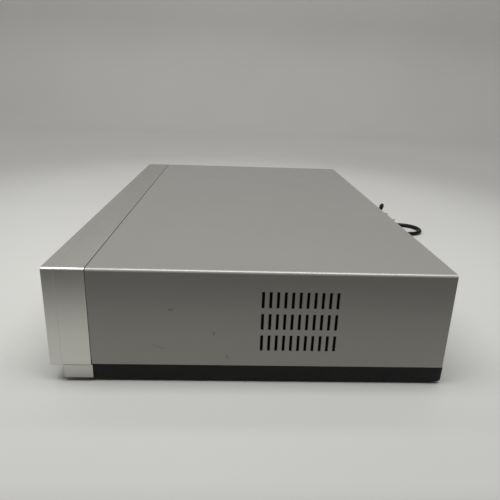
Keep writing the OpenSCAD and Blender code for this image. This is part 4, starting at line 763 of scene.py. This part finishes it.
def socket(name, at, way, base, colour):
    """A plated barrel over the moulded one, a coloured core inside it and a coloured collar at its base."""
    mouth = SOCKET_MOUTH
    barrel = [(4.2, base), (4.2, mouth - 0.2), (4.05, mouth), (3.65, mouth), (3.6, mouth - 0.2), (3.6, base)]
    core = [(1.5, mouth - 2.0), (1.5, mouth - 0.95), (2.9, mouth - 0.95), (2.9, mouth - 2.0)]
    collar = [(4.22, base), (4.22, base + 1.1), (5.3, base + 1.1), (5.6, base + 0.8), (5.6, base)]
    turned_ring(name + "_barrel", at, barrel, way, MATS["nickel"])
    turned_ring(name + "_core", at, core, way, colour)
    turned_ring(name + "_collar", at, collar, way, colour)


def make_sockets():
    """Three sockets in a row at the front, and six columns of them at the rear."""
    x, _, z = middle("front_jacks")
    for i, colour in enumerate((YELLOW, WHITE, RED)):
        at = (x + FRONT_PITCH * (i - 1), FRONT_FOOT_Y, z)
        socket(f"front_socket_{i}", at, -1, FRONT_COLLAR, colour)
    first_x = box("rear_jacks")[0][0] + REAR_MARGIN
    for i, colour in enumerate((YELLOW, WHITE, RED, GREEN, BLUE, RED)):
        for j, z in enumerate(REAR_ROWS):
            at = (first_x + REAR_PITCH * i, REAR_FOOT_Y, z)
            socket(f"rear_socket_{i}_{j}", at, 1, REAR_COLLAR, colour)


def make_plug_pins():
    """The two flat pins of the plug, with their corners cut off at the tip and a hole in each."""
    plug_z = box("mains_plug")[0][2]
    place = (Matrix.Translation((COIL_X, COIL_Y, plug_z)) @ Matrix.Rotation(math.radians(PLUG_TURN), 4, "Z")
             @ Matrix.Translation((INNER, 0, 0)) @ Matrix.Rotation(math.radians(-90), 4, "Z"))
    for name, outline, half_t, material in (("plug_pins", PIN_OUTLINE, PIN_HALF_T, MATS["nickel"]),
                                            ("plug_pin_holes", PIN_HOLE, HOLE_HALF_T, MATS["tie"])):
        bm = bmesh.new()
        for y in (-PIN_ASIDE, PIN_ASIDE):
            loft(bm, [[place @ Vector((x, y + d, z)) for x, z in outline] for d in (-half_t, half_t)])
        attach(put(name, bm, material, smooth_faces=False), "case")


make_symbols()
make_display()
make_scuffs()
make_vent_shade_sheet()
make_cover_hem()
make_plinth_line()
make_pan_hem()
make_sockets()
make_plug_pins()


# ---- floor, backdrop and lights, in metres ----
PAPER, PAPER_VARIES = srgb(207, 207, 203), 0.015
# painted light: the paper is painted lighter near a place behind the object and darker with the distance
# from it, a painted pool of light
LIT_POOL_MIDDLE, LIT_POOL_FROM, LIT_POOL_TO = (-0.3, 0.0, 0.0), 0.33, 0.68
TONE_IN_LIT_POOL, TONE_OUT_OF_LIT_POOL = 1.07, 0.84
# nearer than the camera's view the paper is painted dark: painted shade that stands for the unlit room
# beyond the floor. The side of the case then mirrors a bright floor at its foot and a dark one higher up
PAINTED_DARK_FROM_X, PAINTED_DARK_TO_X, PAINTED_DARK_TONE = 0.3, 0.4, 0.05
FLOOR_END, WALL_X, WALL_TOP = 1.6, -2.1, 2.6
BEND_R, BEND_STEPS = 0.5, 24
STAGE_HALF_W = 3.2


def paper_material():
    """Paper with a faint unevenness, a painted pool of light behind the object and painted shade nearer than
    the camera's view.
    """
    shader = Shader("backdrop_paper")
    tone = shader.ramp(shader.noise(2.5, 3.0), 0.35, 0.65, shade(PAPER, 1 - PAPER_VARIES),
                       shade(PAPER, 1 + PAPER_VARIES))
    # painted light: lighter near the middle of the pool, darker away from it
    away = shader.add("VectorMath", {0: shader.place, 1: LIT_POOL_MIDDLE}, operation="DISTANCE").outputs["Value"]
    painted_pool = shader.remap(away, LIT_POOL_FROM, LIT_POOL_TO, TONE_IN_LIT_POOL, TONE_OUT_OF_LIT_POOL, "SMOOTHSTEP")
    x = shader.axis(shader.place, "X")
    # painted shade: the paper turns dark nearer than the camera's view
    near = shader.remap(x, PAINTED_DARK_FROM_X, PAINTED_DARK_TO_X, 1.0, PAINTED_DARK_TONE, "SMOOTHSTEP")
    tone = shader.scaled(tone, shader.calc("MULTIPLY", painted_pool, near))
    shader.fill(shader.bsdf, {"Base Color": tone, "Roughness": 0.6})
    return shader.material


def make_stage():
    """A floor that bends up into a wall behind the object."""
    profile = [(FLOOR_END, 0.0)]
    for i in range(BEND_STEPS + 1):
        a = math.pi / 2 * i / BEND_STEPS
        profile.append((WALL_X + BEND_R - BEND_R * math.sin(a), BEND_R - BEND_R * math.cos(a)))
    profile.append((WALL_X, WALL_TOP))
    bm = bmesh.new()
    rows = [[bm.verts.new((x, y, z)) for y in (-STAGE_HALF_W, STAGE_HALF_W)] for x, z in profile]
    for a, b in zip(rows[:-1], rows[1:]):
        bm.faces.new((a[0], a[1], b[1], b[0]))
    bm.normal_update()
    mesh = bpy.data.meshes.new("sweep")
    bm.to_mesh(mesh)
    bm.free()
    for face in mesh.polygons:
        face.use_smooth = True
    mesh.materials.append(paper_material())
    floor = bpy.data.objects.new("backdrop_sweep", mesh)
    scene.collection.objects.link(floor)


def area_light(name, at, aim, size, size_y, power, colour=(1, 1, 1)):
    data = bpy.data.lights.new(name, "AREA")
    data.shape = "RECTANGLE"
    data.size = size
    data.size_y = size_y
    data.energy = power
    data.color = colour
    obj = bpy.data.objects.new(name, data)
    obj.location = at
    obj.rotation_euler = (Vector(aim) - Vector(at)).to_track_quat("-Z", "Y").to_euler()
    scene.collection.objects.link(obj)


def make_lights():
    world = bpy.data.worlds.new("world")
    scene.world = world
    world.use_nodes = True
    background = world.node_tree.nodes["Background"]
    background.inputs["Color"].default_value = (1.0, 1.0, 0.99, 1)
    background.inputs["Strength"].default_value = 0.12
    area_light("overhead", (0.3, -0.08, 1.0), (0.3, -0.08, 0), 0.5, 1.3, 10.8)
    area_light("backdrop_wash", (-0.9, 0.0, 1.9), (-2.1, 0, 0.7), 5.0, 1.0, 35.0, (1.0, 0.98, 1.0))


make_stage()
make_lights()
